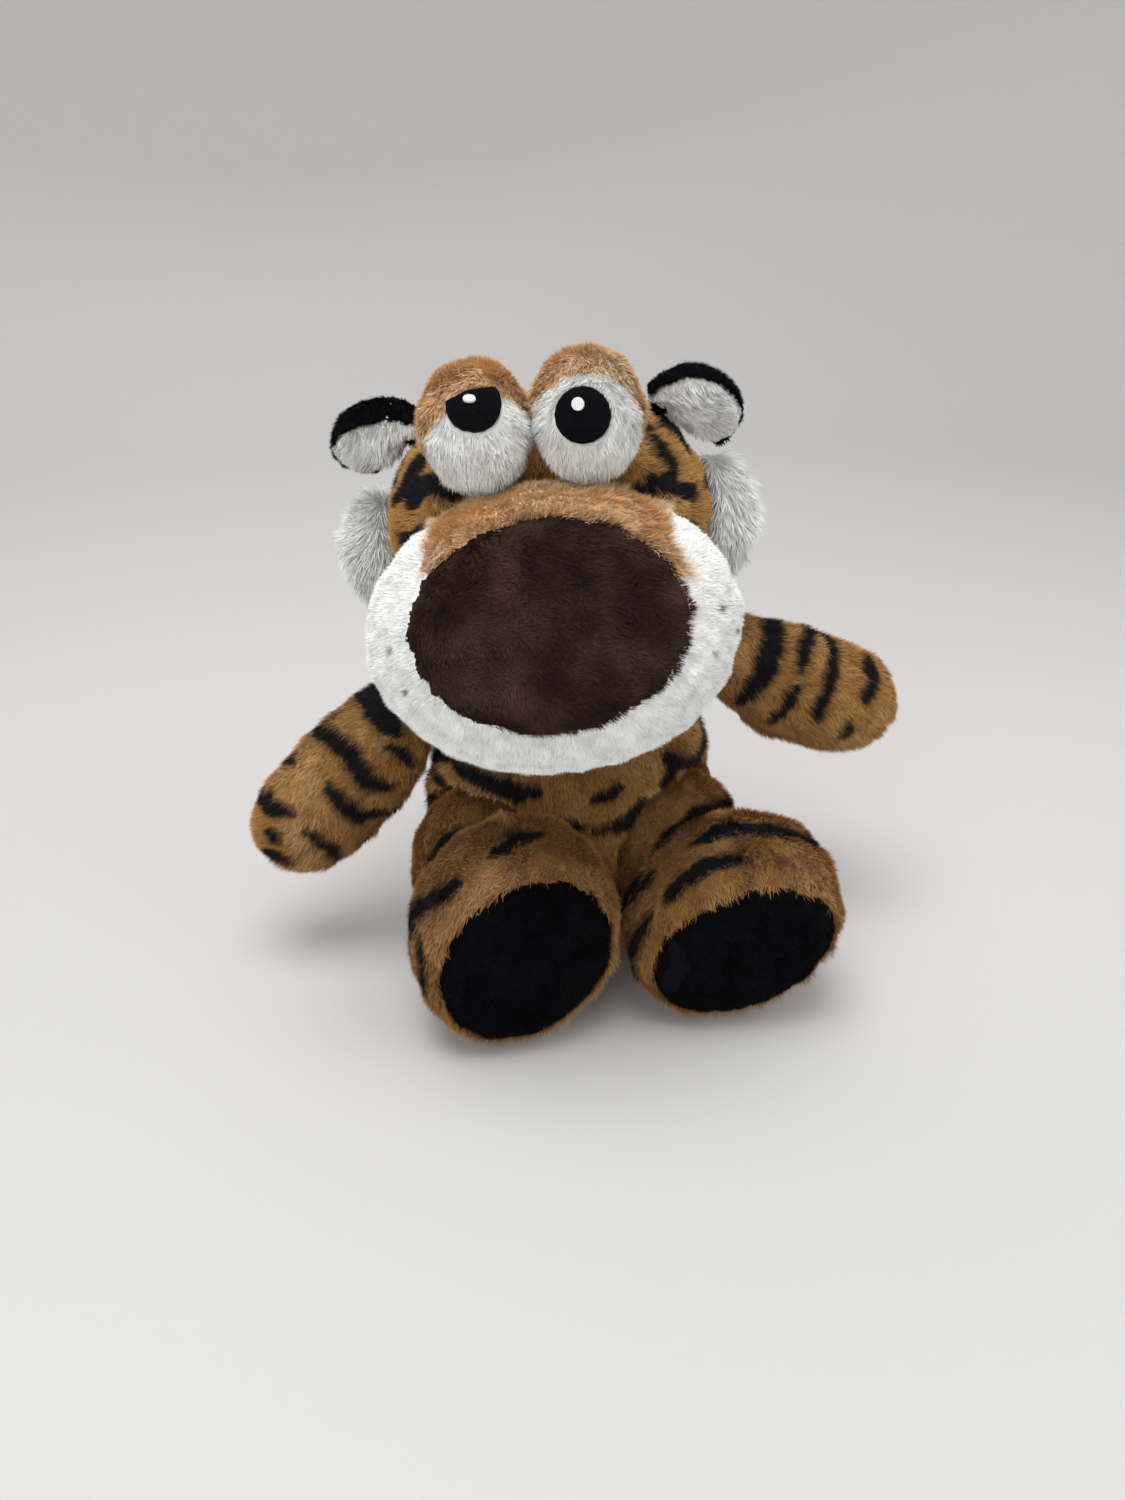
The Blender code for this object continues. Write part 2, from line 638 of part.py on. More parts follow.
def build_ear(side, head):
    """The black back, with its rolled root, and the white lining of a cupped ear."""
    frame = ear_frame(side)
    joint = joint_empty(f"{side}_ear_joint", frame, head)
    half = (EAR_HALF_HEIGHT, EAR_HALF_DEPTH, EAR_HALF_LENGTH)
    form = Form(half, frame @ shift(0, 0, EAR_CENTRE), SMALL)
    turn = EAR_OPEN[side]
    opening = direction(neck_frame(), 0, -math.cos(turn), -math.sin(turn))
    axis = direction(frame, 0, -SIDES[side], 0)
    inside = EAR_BACK_CLOTH + SEAM_GAP
    layers = (
        (f"{side}_ear_back", "black_plush", 0.0, -EAR_BACK_CLOTH),
        (f"{side}_ear_lining", "white_plush", -inside, -inside - EAR_LINING_CLOTH),
    )
    for name, cloth, outer, inner in layers:
        layer = cut(form.solid(outer), form.solid(inner))
        cut(layer, half_space(form.frame.translation, opening))
        cut(layer, *swung(lambda: head_form().solid(SEAM_GAP), frame.translation, axis, (0, *EAR_SWING)))
        if outer == 0.0:
            union(layer, ear_roll(side))
        else:
            cut(layer, ear_roll(side, SEAM_GAP))
        finish_part(layer, name, cloth, joint)


def build_ruff(side, head):
    """The tuft of long white fur along the cheek."""
    half = (RUFF_HALF_WIDTH, RUFF_HALF_DEPTH, RUFF_HALF_HEIGHT)
    place = neck_frame() @ shift(SIDES[side] * RUFF_ASIDE[side], RUFF_BACK, RUFF_RISE[side])
    ruff = Form(half, place, SMALL).solid()
    cut(ruff, head_form().solid(SEAM_GAP), muzzle_form().solid(SEAM_GAP))
    finish_part(ruff, f"{side}_cheek_ruff", "white_long_fur", head)


def make_materials():
    """One Principled material for each cloth."""
    for name, (colour, roughness) in CLOTHS.items():
        material = bpy.data.materials.new(name)
        material.use_nodes = True
        shader = material.node_tree.nodes["Principled BSDF"]
        shader.inputs["Base Color"].default_value = (*colour, 1)
        shader.inputs["Roughness"].default_value = roughness
        shader.inputs["Metallic"].default_value = 0


def main():
    """Clears the scene and builds the toy, body by body."""
    for obj in list(bpy.data.objects):
        bpy.data.objects.remove(obj)
    for name in ("plush_tiger", "cutters"):
        bpy.context.scene.collection.children.link(bpy.data.collections.new(name))
    make_materials()
    root = joint_empty("torso_base", torso_frame())
    build_torso(root)
    for side in SIDES:
        build_arm(side, root)
        build_leg(side, root)
    build_tail(root)
    head = joint_empty("head_nod_joint", neck_frame(), build_neck_wad(root))
    build_head(head)
    build_muzzle(head)
    for side in SIDES:
        build_eye(side, head)
        build_ear(side, head)
        build_ruff(side, head)
    bpy.data.collections.remove(bpy.data.collections["cutters"])


main()
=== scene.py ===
"""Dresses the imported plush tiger: stuffed covers, their pile, the embroidery and the photo studio.

Sizes are in metres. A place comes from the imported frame, or from a pixel of the photograph that is cast
onto the form that carries it. Along X the toy's own left is positive, and it looks towards -Y.
"""

import json
import logging
import math
from dataclasses import dataclass, field
from enum import Enum

import bmesh
import bpy
import numpy as np
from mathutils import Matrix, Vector
from mathutils.bvhtree import BVHTree


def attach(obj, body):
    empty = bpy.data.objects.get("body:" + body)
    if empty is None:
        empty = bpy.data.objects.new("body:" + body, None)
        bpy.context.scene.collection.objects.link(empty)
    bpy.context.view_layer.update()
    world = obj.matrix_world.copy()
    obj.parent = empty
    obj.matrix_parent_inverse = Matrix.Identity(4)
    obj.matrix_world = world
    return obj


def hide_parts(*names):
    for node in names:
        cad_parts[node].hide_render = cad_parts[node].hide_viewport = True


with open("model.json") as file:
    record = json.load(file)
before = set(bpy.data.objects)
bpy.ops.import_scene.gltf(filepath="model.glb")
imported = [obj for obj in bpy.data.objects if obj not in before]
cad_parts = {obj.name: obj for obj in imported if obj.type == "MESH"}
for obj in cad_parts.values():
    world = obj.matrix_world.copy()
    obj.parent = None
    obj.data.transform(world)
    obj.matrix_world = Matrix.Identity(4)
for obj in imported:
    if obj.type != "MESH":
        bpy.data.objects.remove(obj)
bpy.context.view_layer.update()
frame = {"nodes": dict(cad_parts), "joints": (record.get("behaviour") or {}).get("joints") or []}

LOG = logging.getLogger("plush_tiger")
Colour = tuple[float, float, float]
Pixel = tuple[float, float]
Socket = bpy.types.NodeSocket

SIDES = {"right": -1.0, "left": 1.0}
FLOOR_CLEAR = 0.0001
# the stuffing simulation
SIM_FRAMES = 20
PRESSURE = 4
PIN_REACH = 0.003
# how covers follow their panels, meet each other and are folded
PANEL_REACH = 0.05
SEARCH_REACH = 0.012
INSET_EASE = 0.0015
COVER_GAP = 0.0003
INSIDE_SHARE = 0.6
PUSH_REACH = 0.004
ROOM_LIMIT = 0.02
CREASE_ROOM = 0.0009
CREASE_STEP = 0.001
FAR_AWAY = 1.0
ROUND_REACH = 0.15
UPRIGHT_LIMIT = 0.8
# how high on the root-to-tip ramp and how light the cloth between the blades counts in the colour of its
# plush; both are low, so the cloth carries the painted shade of the roots
COVER_RISE = 0.35
COVER_TONE = 0.25
# the seed of the patches in the blades' tones
TONE_SEED = 11
# where a blade starts in its cell of the colour map, and how much of the cell it fills
CELL_EDGE, CELL_SPAN = 0.15, 0.7
# waves on a cover and on the edges of its print: depth, patch size and a shift of the seed
RIPPLES = ((0.00035, 0.007, 0), (0.0002, 0.003, 3))
EDGE_WAVES = ((0.0005, 0.0045, 21), (0.0004, 0.0015, 22))
# stripes
STRIPE_GAIN = 1.35
STRIPE_STEP = 0.0007
STRIPE_MARGIN = 0.006
STRIPE_TAPER = 2.6
STRIPE_TIP_SHARE = 0.02


class Cloth(Enum):
    """The record's material slots."""

    TIGER = "tiger_plush"
    WHITE = "white_plush"
    TAN = "tan_plush"
    BROWN = "brown_plush"
    BLACK = "black_plush"
    LONG_WHITE = "white_long_fur"
    BLACK_THREAD = "black_thread"
    WHITE_THREAD = "white_thread"


@dataclass(frozen=True)
class PhotoView:
    """The photograph's camera, a phone held above and in front of the toy."""

    target: tuple[float, float, float] = (-0.0065, -0.0324, 0.0935)
    distance: float = 0.440
    pitch: float = math.radians(25)
    focal_pixels: float = 1273
    width: int = 1125
    height: int = 1500
    sensor: float = 36

    def ahead(self) -> Vector:
        """The direction in which the camera looks."""
        return Vector((0, math.cos(self.pitch), -math.sin(self.pitch)))

    def above(self) -> Vector:
        """The direction that is up in the picture."""
        return Vector((0, math.sin(self.pitch), math.cos(self.pitch)))

    def eye(self) -> Vector:
        """Where the camera stands."""
        return Vector(self.target) - self.ahead() * self.distance

    def ray(self, pixel: Pixel) -> tuple[Vector, Vector]:
        """The line of sight through a pixel of the photograph.

        Args:
            pixel: Across and down, in the frame of 1125 by 1500.

        Returns:
            The camera's place and the direction of the sight line.
        """
        across = (pixel[0] - self.width / 2) / self.focal_pixels
        down = (pixel[1] - self.height / 2) / self.focal_pixels
        return self.eye(), (self.ahead() + Vector((across, 0, 0)) - self.above() * down).normalized()

    def pixels(self, points: np.ndarray) -> np.ndarray:
        """Where points are seen in the photograph.

        Args:
            points: Places in the scene.

        Returns:
            Across and down, one point in a row.
        """
        away = points - np.array(self.eye())
        depth = away @ np.array(self.ahead())
        across = away[:, 0] / depth * self.focal_pixels + self.width / 2
        down = self.height / 2 - away @ np.array(self.above()) / depth * self.focal_pixels
        return np.column_stack([across, down])

    def place(self) -> None:
        """Adds the camera to the scene."""
        data = bpy.data.cameras.new("photo_camera")
        data.sensor_width = self.sensor
        data.lens = self.focal_pixels / self.height * self.sensor
        camera = bpy.data.objects.new("photo_camera", data)
        camera.location = self.eye()
        camera.rotation_euler = (math.pi / 2 - self.pitch, 0, 0)
        bpy.context.scene.collection.objects.link(camera)
        bpy.context.scene.camera = camera


VIEW = PhotoView()


def swirl(points: np.ndarray, scale: float, seed: int, waves: int = 6) -> np.ndarray:
    """Smooth noise made of sine waves.

    Args:
        points: Places, one in a row.
        scale: The size of its patches.
        seed: Picks the waves.
        waves: How many waves are added.

    Returns:
        A value from about -1 to 1 for each place.
    """
    rng = np.random.default_rng(seed)
    ways = rng.normal(size=(waves, 3))
    ways *= rng.uniform(0.6, 1.6, size=(waves, 1)) / np.linalg.norm(ways, axis=1, keepdims=True)
    phases = rng.uniform(0, 2 * math.pi, waves)
    return np.sin(points @ ways.T * (math.pi / scale) + phases).sum(axis=1) / math.sqrt(waves)


def unit(vectors: np.ndarray) -> np.ndarray:
    """Vectors scaled to length one, one in a row."""
    return vectors / np.maximum(np.linalg.norm(vectors, axis=1, keepdims=True), 1e-9)


def link(name: str, mesh: bpy.types.Mesh) -> bpy.types.Object:
    """Puts a mesh into the scene.

    Args:
        name: What the mesh and its object are called.
        mesh: The mesh.

    Returns:
        The new object.
    """
    mesh.name = name
    obj = bpy.data.objects.new(name, mesh)
    bpy.context.scene.collection.objects.link(obj)
    return obj


def settle(obj: bpy.types.Object) -> None:
    """Applies the modifiers of an object to its mesh.

    Args:
        obj: The object, which gets a new mesh of the same name.
    """
    graph = bpy.context.evaluated_depsgraph_get()
    mesh = bpy.data.meshes.new_from_object(obj.evaluated_get(graph))
    old = obj.data
    obj.modifiers.clear()
    obj.data = mesh
    mesh.name = obj.name
    bpy.data.meshes.remove(old)


def points_of(mesh: bpy.types.Mesh) -> np.ndarray:
    """Reads the vertices of a mesh.

    Args:
        mesh: The mesh.

    Returns:
        Its vertices, one in a row.
    """
    flat = np.empty(len(mesh.vertices) * 3)
    mesh.vertices.foreach_get("co", flat)
    return flat.reshape(-1, 3)


def move_points(mesh: bpy.types.Mesh, points: np.ndarray) -> None:
    """Gives the vertices of a mesh new places."""
    mesh.vertices.foreach_set("co", points.ravel())
    mesh.update()


def normals_of(mesh: bpy.types.Mesh) -> np.ndarray:
    """Reads the vertex normals of a mesh.

    Args:
        mesh: The mesh.

    Returns:
        Its normals, one in a row.
    """
    flat = np.empty(len(mesh.vertices) * 3)
    mesh.vertex_normals.foreach_get("vector", flat)
    return flat.reshape(-1, 3)


def tree_of(mesh: bpy.types.Mesh) -> BVHTree:
    """A search tree over the faces of a mesh."""
    return BVHTree.FromPolygons([v.co for v in mesh.vertices], [tuple(p.vertices) for p in mesh.polygons])


def distances(points: np.ndarray, tree: BVHTree, limit: float) -> np.ndarray:
    """How far each point is from the faces in a tree, and never more than limit."""
    found = (tree.find_nearest(point, limit) for point in points)
    return np.array([limit if hit[0] is None else hit[3] for hit in found])


def flatten(points: np.ndarray, roots: np.ndarray, normals: np.ndarray) -> np.ndarray:
    """The places on the cloth straight under points of the pile that grows on it.

    Args:
        points: Points of the pile.
        roots: The roots of their blades.
        normals: The cloth's normals at the roots.

    Returns:
        The places, in the order of the points.
    """
    return points - normals * ((points - roots) * normals).sum(axis=1, keepdims=True)


def layered_swirl(
    points: np.ndarray, layers: tuple[tuple[float, float, int], ...], seed: int
) -> np.ndarray:
    """Adds up waves of several sizes.

    Args:
        points: Places, one in a row.
        layers: The depth, the patch size and the shift of the seed of each layer.
        seed: Picks the pattern.

    Returns:
        The height at each place.
    """
    return sum(depth * swirl(points, size, seed + shift) for depth, size, shift in layers)


def set_floats(mesh: bpy.types.Mesh, name: str, values: np.ndarray) -> None:
    """Stores one value for each vertex under a name that materials can read."""
    layer = mesh.attributes.new(name, "FLOAT", "POINT")
    layer.data.foreach_set("value", np.asarray(values, dtype=np.float32))


class ShaderKit:
    """Builds the shader node groups that the finishes share, each of them once."""

    TONE = "PileTone"
    GRAIN = "PileGrain"
    # the range of the patch noise in which the tips turn to their lighter colour, a painted highlight
    BRUSHED_FROM, BRUSHED_TO = 0.46, 0.66
    DARKEST_TONE, LIGHTEST_TONE = 0.82, 1.20
    NAP_STRETCH = (1, 1, 0.45)

    @staticmethod
    def sockets(tree: bpy.types.NodeTree, inputs: dict[str, str], outputs: dict[str, str]) -> None:
        """Gives a node group its named sockets.

        Args:
            tree: The node group.
            inputs: Socket type by name.
            outputs: Socket type by name.
        """
        for way, sockets in (("INPUT", inputs), ("OUTPUT", outputs)):
            for name, kind in sockets.items():
                tree.interface.new_socket(name, in_out=way, socket_type=kind)

    @staticmethod
    def mix(
        tree: bpy.types.NodeTree, kind: str, factor: Socket | float, first: Socket, second: Socket
    ) -> Socket:
        """Adds a colour mix node.

        Args:
            tree: Where the node goes.
            kind: The blend type.
            factor: A socket or a number.
            first: The first colour's socket.
            second: The second colour's socket.

        Returns:
            The socket of the mixed colour.
        """
        node = tree.nodes.new("ShaderNodeMix")
        node.data_type = "RGBA"
        node.blend_type = kind
        if isinstance(factor, (int, float)):
            node.inputs[0].default_value = factor
        else:
            tree.links.new(factor, node.inputs[0])
        tree.links.new(first, node.inputs[6])
        tree.links.new(second, node.inputs[7])
        return node.outputs[2]

    @staticmethod
    def spread(tree: bpy.types.NodeTree, value: Socket, low: float, high: float) -> Socket:
        """Maps 0..1 to low..high.

        Args:
            tree: Where the node goes.
            value: The socket to map.
            low: What 0 becomes.
            high: What 1 becomes.

        Returns:
            The socket of the mapped value.
        """
        node = tree.nodes.new("ShaderNodeMapRange")
        node.inputs["To Min"].default_value = low
        node.inputs["To Max"].default_value = high
        tree.links.new(value, node.inputs["Value"])
        return node.outputs["Result"]

    @staticmethod
    def noise(
        tree: bpy.types.NodeTree, scale: Socket | float, detail: float, stretch: Colour = (1, 1, 1)
    ) -> Socket:
        """Adds noise in the object's own coordinates.

        Args:
            tree: Where the nodes go.
            scale: A socket or a number.
            detail: How many finer layers it has.
            stretch: Scales the coordinates along each axis.

        Returns:
            The socket of the noise, about 0.5 in the middle.
        """
        place = tree.nodes.new("ShaderNodeTexCoord")
        mapping = tree.nodes.new("ShaderNodeMapping")
        mapping.inputs["Scale"].default_value = stretch
        texture = tree.nodes.new("ShaderNodeTexNoise")
        texture.inputs["Detail"].default_value = detail
        if isinstance(scale, (int, float)):
            texture.inputs["Scale"].default_value = scale
        else:
            tree.links.new(scale, texture.inputs["Scale"])
        tree.links.new(place.outputs["Object"], mapping.inputs["Vector"])
        tree.links.new(mapping.outputs["Vector"], texture.inputs["Vector"])
        return texture.outputs["Fac"]

    @classmethod
    def tone(cls) -> bpy.types.NodeTree:
        """The group that colours pile from root to tip, with painted shade at the roots, lighter patches of
        painted highlight on the tips, print and wear.

        Returns:
            The group, built the first time that it is asked for.
        """
        tree = bpy.data.node_groups.get(cls.TONE)
        if tree:
            return tree
        tree = bpy.data.node_groups.new(cls.TONE, "ShaderNodeTree")
        colour, value = "NodeSocketColor", "NodeSocketFloat"
        inputs = {"Root": colour, "Tip": colour, "Brushed Highlight": colour, "Mark": colour}
        inputs |= {"Rise": value, "Tone": value, "Print": value, "Patch Scale": value}
        cls.sockets(tree, inputs, {"Color": colour})
        given = tree.nodes.new("NodeGroupInput").outputs
        patches = cls.noise(tree, given["Patch Scale"], 2)
        # patches where the tips turn lighter: painted highlight on the pile
        brushed_highlight = tree.nodes.new("ShaderNodeMapRange")
        brushed_highlight.inputs["From Min"].default_value = cls.BRUSHED_FROM
        brushed_highlight.inputs["From Max"].default_value = cls.BRUSHED_TO
        tree.links.new(patches, brushed_highlight.inputs["Value"])
        tips = cls.mix(tree, "MIX", brushed_highlight.outputs["Result"], given["Tip"], given["Brushed Highlight"])
        # from the darker root colour up to the tips: painted shade that darkens the pile towards its roots
        shaft = cls.mix(tree, "MIX", given["Rise"], given["Root"], tips)
        printed = cls.mix(tree, "MIX", given["Print"], shaft, given["Mark"])
        shade = tree.nodes.new("ShaderNodeCombineColor")
        level = cls.spread(tree, given["Tone"], cls.DARKEST_TONE, cls.LIGHTEST_TONE)
        for socket in shade.inputs[:3]:
            tree.links.new(level, socket)
        result = cls.mix(tree, "MULTIPLY", 1, printed, shade.outputs["Color"])
        tree.links.new(result, tree.nodes.new("NodeGroupOutput").inputs["Color"])
        return tree

    @classmethod
    def grain(cls) -> bpy.types.NodeTree:
        """The group that puts out a height: fine grain over coarser lumps.

        Returns:
            The group, built the first time that it is asked for.
        """
        tree = bpy.data.node_groups.get(cls.GRAIN)
        if tree:
            return tree
        tree = bpy.data.node_groups.new(cls.GRAIN, "ShaderNodeTree")
        value = "NodeSocketFloat"
        cls.sockets(tree, {"Fine Scale": value, "Lump Scale": value, "Lumps": value}, {"Height": value})
        given = tree.nodes.new("NodeGroupInput").outputs
        fine = cls.noise(tree, given["Fine Scale"], 3, cls.NAP_STRETCH)
        lumps = cls.noise(tree, given["Lump Scale"], 2)
        add = tree.nodes.new("ShaderNodeMath")
        add.operation = "MULTIPLY_ADD"
        tree.links.new(lumps, add.inputs[0])
        tree.links.new(given["Lumps"], add.inputs[1])
        tree.links.new(fine, add.inputs[2])
        tree.links.new(add.outputs[0], tree.nodes.new("NodeGroupOutput").inputs["Height"])
        return tree


@dataclass(frozen=True)
class PlushFinish:
    """One plush cloth, by the colours of its pile and of what is printed on it. Its pile is painted darker
    at the roots as shade between the blades, and lighter in patches as highlight.
    """

    cloth: Cloth
    # the pile's own colour, darkened at its roots with painted shade from between the blades
    root: Colour
    tip: Colour
    # the tips' colour in the lighter patches, a painted highlight
    brushed_highlight: Colour
    mark: Colour = (0.010, 0.010, 0.012)
    patch_scale: float = 45
    roughness: float = 0.85
    sheen: float = 0.12
    sheen_roughness: float = 0.5
    specular: float = 0.15
    bump: float = 0.5
    bump_height: float = 0.0008
    fine_scale: float = 1400
    lump_scale: float = 300
    lumps: float = 1.5

    def material(self) -> bpy.types.Material:
        """The finish as a material, which reads print, tone and rise from the mesh.

        Returns:
            The material, built the first time that it is asked for.
        """
        found = bpy.data.materials.get("dressed_" + self.cloth.value)
        if found:
            return found
        material = bpy.data.materials.new("dressed_" + self.cloth.value)
        material.use_nodes = True
        tree = material.node_tree
        shader = tree.nodes["Principled BSDF"]
        shader.inputs["Roughness"].default_value = self.roughness
        shader.inputs["Sheen Weight"].default_value = self.sheen
        shader.inputs["Sheen Roughness"].default_value = self.sheen_roughness
        shader.inputs["Specular IOR Level"].default_value = self.specular
        tone = tree.nodes.new("ShaderNodeGroup")
        tone.node_tree = ShaderKit.tone()
        colours = {"Root": self.root, "Tip": self.tip, "Brushed Highlight": self.brushed_highlight, "Mark": self.mark}
        for name, colour in colours.items():
            tone.inputs[name].default_value = (*colour, 1)
        tone.inputs["Patch Scale"].default_value = self.patch_scale
        for socket, attribute in (("Rise", "rise"), ("Tone", "tone"), ("Print", "print")):
            reader = tree.nodes.new("ShaderNodeAttribute")
            reader.attribute_name = attribute
            tree.links.new(reader.outputs["Fac"], tone.inputs[socket])
        tree.links.new(tone.outputs["Color"], shader.inputs["Base Color"])
        grain = tree.nodes.new("ShaderNodeGroup")
        grain.node_tree = ShaderKit.grain()
        grain.inputs["Fine Scale"].default_value = self.fine_scale
        grain.inputs["Lump Scale"].default_value = self.lump_scale
        grain.inputs["Lumps"].default_value = self.lumps
        bump = tree.nodes.new("ShaderNodeBump")
        bump.inputs["Strength"].default_value = self.bump
        bump.inputs["Distance"].default_value = self.bump_height
        tree.links.new(grain.outputs["Height"], bump.inputs["Height"])
        tree.links.new(bump.outputs["Normal"], shader.inputs["Normal"])
        return material


@dataclass(frozen=True)
class ThreadFinish:
    """Satin stitches side by side, as on the pupils and their glints."""

    cloth: Cloth
    colour: Colour
    pale: Colour
    stitch_scale: float = 550
    waver: float = 1.2
    roughness: float = 0.8
    specular: float = 0.06
    bump: float = 0.7
    bump_height: float = 0.0003

    def material(self) -> bpy.types.Material:
        """The finish as a material, with waves that stand for its stitches.

        Returns:
            The material, built the first time that it is asked for.
        """
        found = bpy.data.materials.get("dressed_" + self.cloth.value)
        if found:
            return found
        material = bpy.data.materials.new("dressed_" + self.cloth.value)
        material.use_nodes = True
        tree = material.node_tree
        shader = tree.nodes["Principled BSDF"]
        shader.inputs["Roughness"].default_value = self.roughness
        shader.inputs["Specular IOR Level"].default_value = self.specular
        place = tree.nodes.new("ShaderNodeTexCoord")
        waves = tree.nodes.new("ShaderNodeTexWave")
        waves.inputs["Scale"].default_value = self.stitch_scale
        waves.inputs["Distortion"].default_value = self.waver
        waves.inputs["Detail"].default_value = 1
        tree.links.new(place.outputs["Object"], waves.inputs["Vector"])
        mixed = tree.nodes.new("ShaderNodeMix")
        mixed.data_type = "RGBA"
        mixed.inputs[6].default_value = (*self.colour, 1)
        mixed.inputs[7].default_value = (*self.pale, 1)
        tree.links.new(waves.outputs["Fac"], mixed.inputs[0])
        tree.links.new(mixed.outputs[2], shader.inputs["Base Color"])
        bump = tree.nodes.new("ShaderNodeBump")
        bump.inputs["Strength"].default_value = self.bump
        bump.inputs["Distance"].default_value = self.bump_height
        tree.links.new(waves.outputs["Fac"], bump.inputs["Height"])
        tree.links.new(bump.outputs["Normal"], shader.inputs["Normal"])
        return material


# each plush's root colour is darker than its tip as painted shade between the blades, and its lighter patch
# colour is painted highlight
FINISHES = {
    Cloth.TIGER: PlushFinish(
        Cloth.TIGER, root=(0.15, 0.062, 0.015), tip=(0.62, 0.330, 0.108), brushed_highlight=(0.86, 0.52, 0.215),
        sheen=0.04,
    ),
    Cloth.WHITE: PlushFinish(
        Cloth.WHITE, root=(0.90, 0.90, 0.88), tip=(0.95, 0.96, 0.94), brushed_highlight=(0.97, 0.98, 0.97),
        mark=(0.16, 0.16, 0.17),
    ),
    Cloth.TAN: PlushFinish(
        Cloth.TAN, root=(0.62, 0.38, 0.18), tip=(0.88, 0.60, 0.33), brushed_highlight=(0.99, 0.85, 0.60),
        patch_scale=30,
    ),
    Cloth.BROWN: PlushFinish(
        Cloth.BROWN, root=(0.016, 0.008, 0.006), tip=(0.044, 0.022, 0.016), brushed_highlight=(0.160, 0.086, 0.060),
        patch_scale=34, sheen=0.0, specular=0.08,
    ),
    Cloth.BLACK: PlushFinish(
        Cloth.BLACK, root=(0.002, 0.002, 0.003), tip=(0.0045, 0.0043, 0.006), brushed_highlight=(0.008, 0.008, 0.010),
        sheen=0.0, specular=0.06,
    ),
    Cloth.LONG_WHITE: PlushFinish(
        Cloth.LONG_WHITE, root=(0.76, 0.76, 0.74), tip=(0.91, 0.92, 0.90), brushed_highlight=(0.94, 0.95, 0.94),
    ),
    Cloth.BLACK_THREAD: ThreadFinish(
        Cloth.BLACK_THREAD, colour=(0.002, 0.002, 0.003), pale=(0.006, 0.006, 0.008),
    ),
    Cloth.WHITE_THREAD: ThreadFinish(
        Cloth.WHITE_THREAD, colour=(0.80, 0.80, 0.82), pale=(0.95, 0.95, 0.97),
    ),
}


@dataclass(frozen=True)
class PhotoStripe:
    """A printed stripe that the photograph shows, by the pixels that its middle passes."""

    pixels: tuple[Pixel, ...]
    width: float = 0.0042
    depth: float = 0.0

    def middle(self, form: "StuffedForm", step: float) -> np.ndarray:
        """Its middle line on a form.

        Args:
            form: The form that it is printed on.
            step: The space between two points.

        Returns:
            Points on the form's surface, in order.
        """
        found = []
        for start, end in zip(self.pixels, self.pixels[1:]):
            pieces = max(2, round(math.dist(start, end) * VIEW.distance / VIEW.focal_pixels / step))
            for i in range(pieces):
                share = i / pieces
                pixel = tuple(a + (b - a) * share for a, b in zip(start, end))
                found.append(form.seen_at(pixel))
        return np.array(found)


@dataclass(frozen=True)
class RoundStripe:
    """A printed stripe that the photograph doesn't show: an arc about the form's own axis."""

    along: tuple[float, float]
    turn: tuple[float, float]
    width: float = 0.0045
    waver_share: float = 0.02
    wavers: float = 7
    degrees_per_point: float = 4
    points_along: float = 70

    def middle(self, form: "StuffedForm", step: float) -> np.ndarray:
        """Its middle line on a form.

        Args:
            form: The form that it is printed on.
            step: The space between two points.

        Returns:
            Points on the form's surface, in order.
        """
        climb, sweep = self.along[1] - self.along[0], self.turn[1] - self.turn[0]
        count = max(4, round(abs(sweep) / self.degrees_per_point), round(abs(climb) * self.points_along))
        shares = np.linspace(0, 1, count)
        waver = self.waver_share * np.sin(shares * self.wavers + self.turn[0])
        return np.array([
            form.round_at(self.along[0] + climb * s + w, self.turn[0] + sweep * s)
            for s, w in zip(shares, waver)
        ])


def both_sides(
    along: tuple[float, float], turn: tuple[float, float], width: float
) -> tuple[RoundStripe, RoundStripe]:
    """A round stripe and its mirror image on the form's other side.

    Args:
        along: Where it starts and ends along the axis, as shares.
        turn: Where it starts and ends about the axis, in degrees.
        width: How wide it is.

    Returns:
        Both stripes.
    """
    return RoundStripe(along, turn, width), RoundStripe(along, (360 - turn[0], 360 - turn[1]), width)


@dataclass(frozen=True)
class Comb:
    """The way in which pile is combed: towards a direction, and away from a point."""

    toward: tuple[float, float, float] = (0.0, 0.0, -1.0)
    away: float = 0.0
    waver: float = 0.35
    broad: float = 0.012
    fine: float = 0.004

    def lay(self, points: np.ndarray, normals: np.ndarray, centre: np.ndarray, seed: int) -> np.ndarray:
        """The combed direction at each point, along the surface.

        Args:
            points: Where the pile grows.
            normals: The surface's normals there.
            centre: The point that the pile turns away from.
            seed: Picks the waver.

        Returns:
            Unit vectors, one in a row.
        """
        flow = np.asarray(self.toward) + self.away * unit(points - centre)
        flow = flow - normals * (flow * normals).sum(axis=1, keepdims=True)
        flow = unit(flow)
        across = np.cross(normals, flow)
        broad, fine = swirl(points, self.broad, seed), swirl(points, self.fine, seed + 1)
        angle = (self.waver * broad + 0.5 * self.waver * fine)[:, None]
        return unit(flow * np.cos(angle) + across * np.sin(angle))


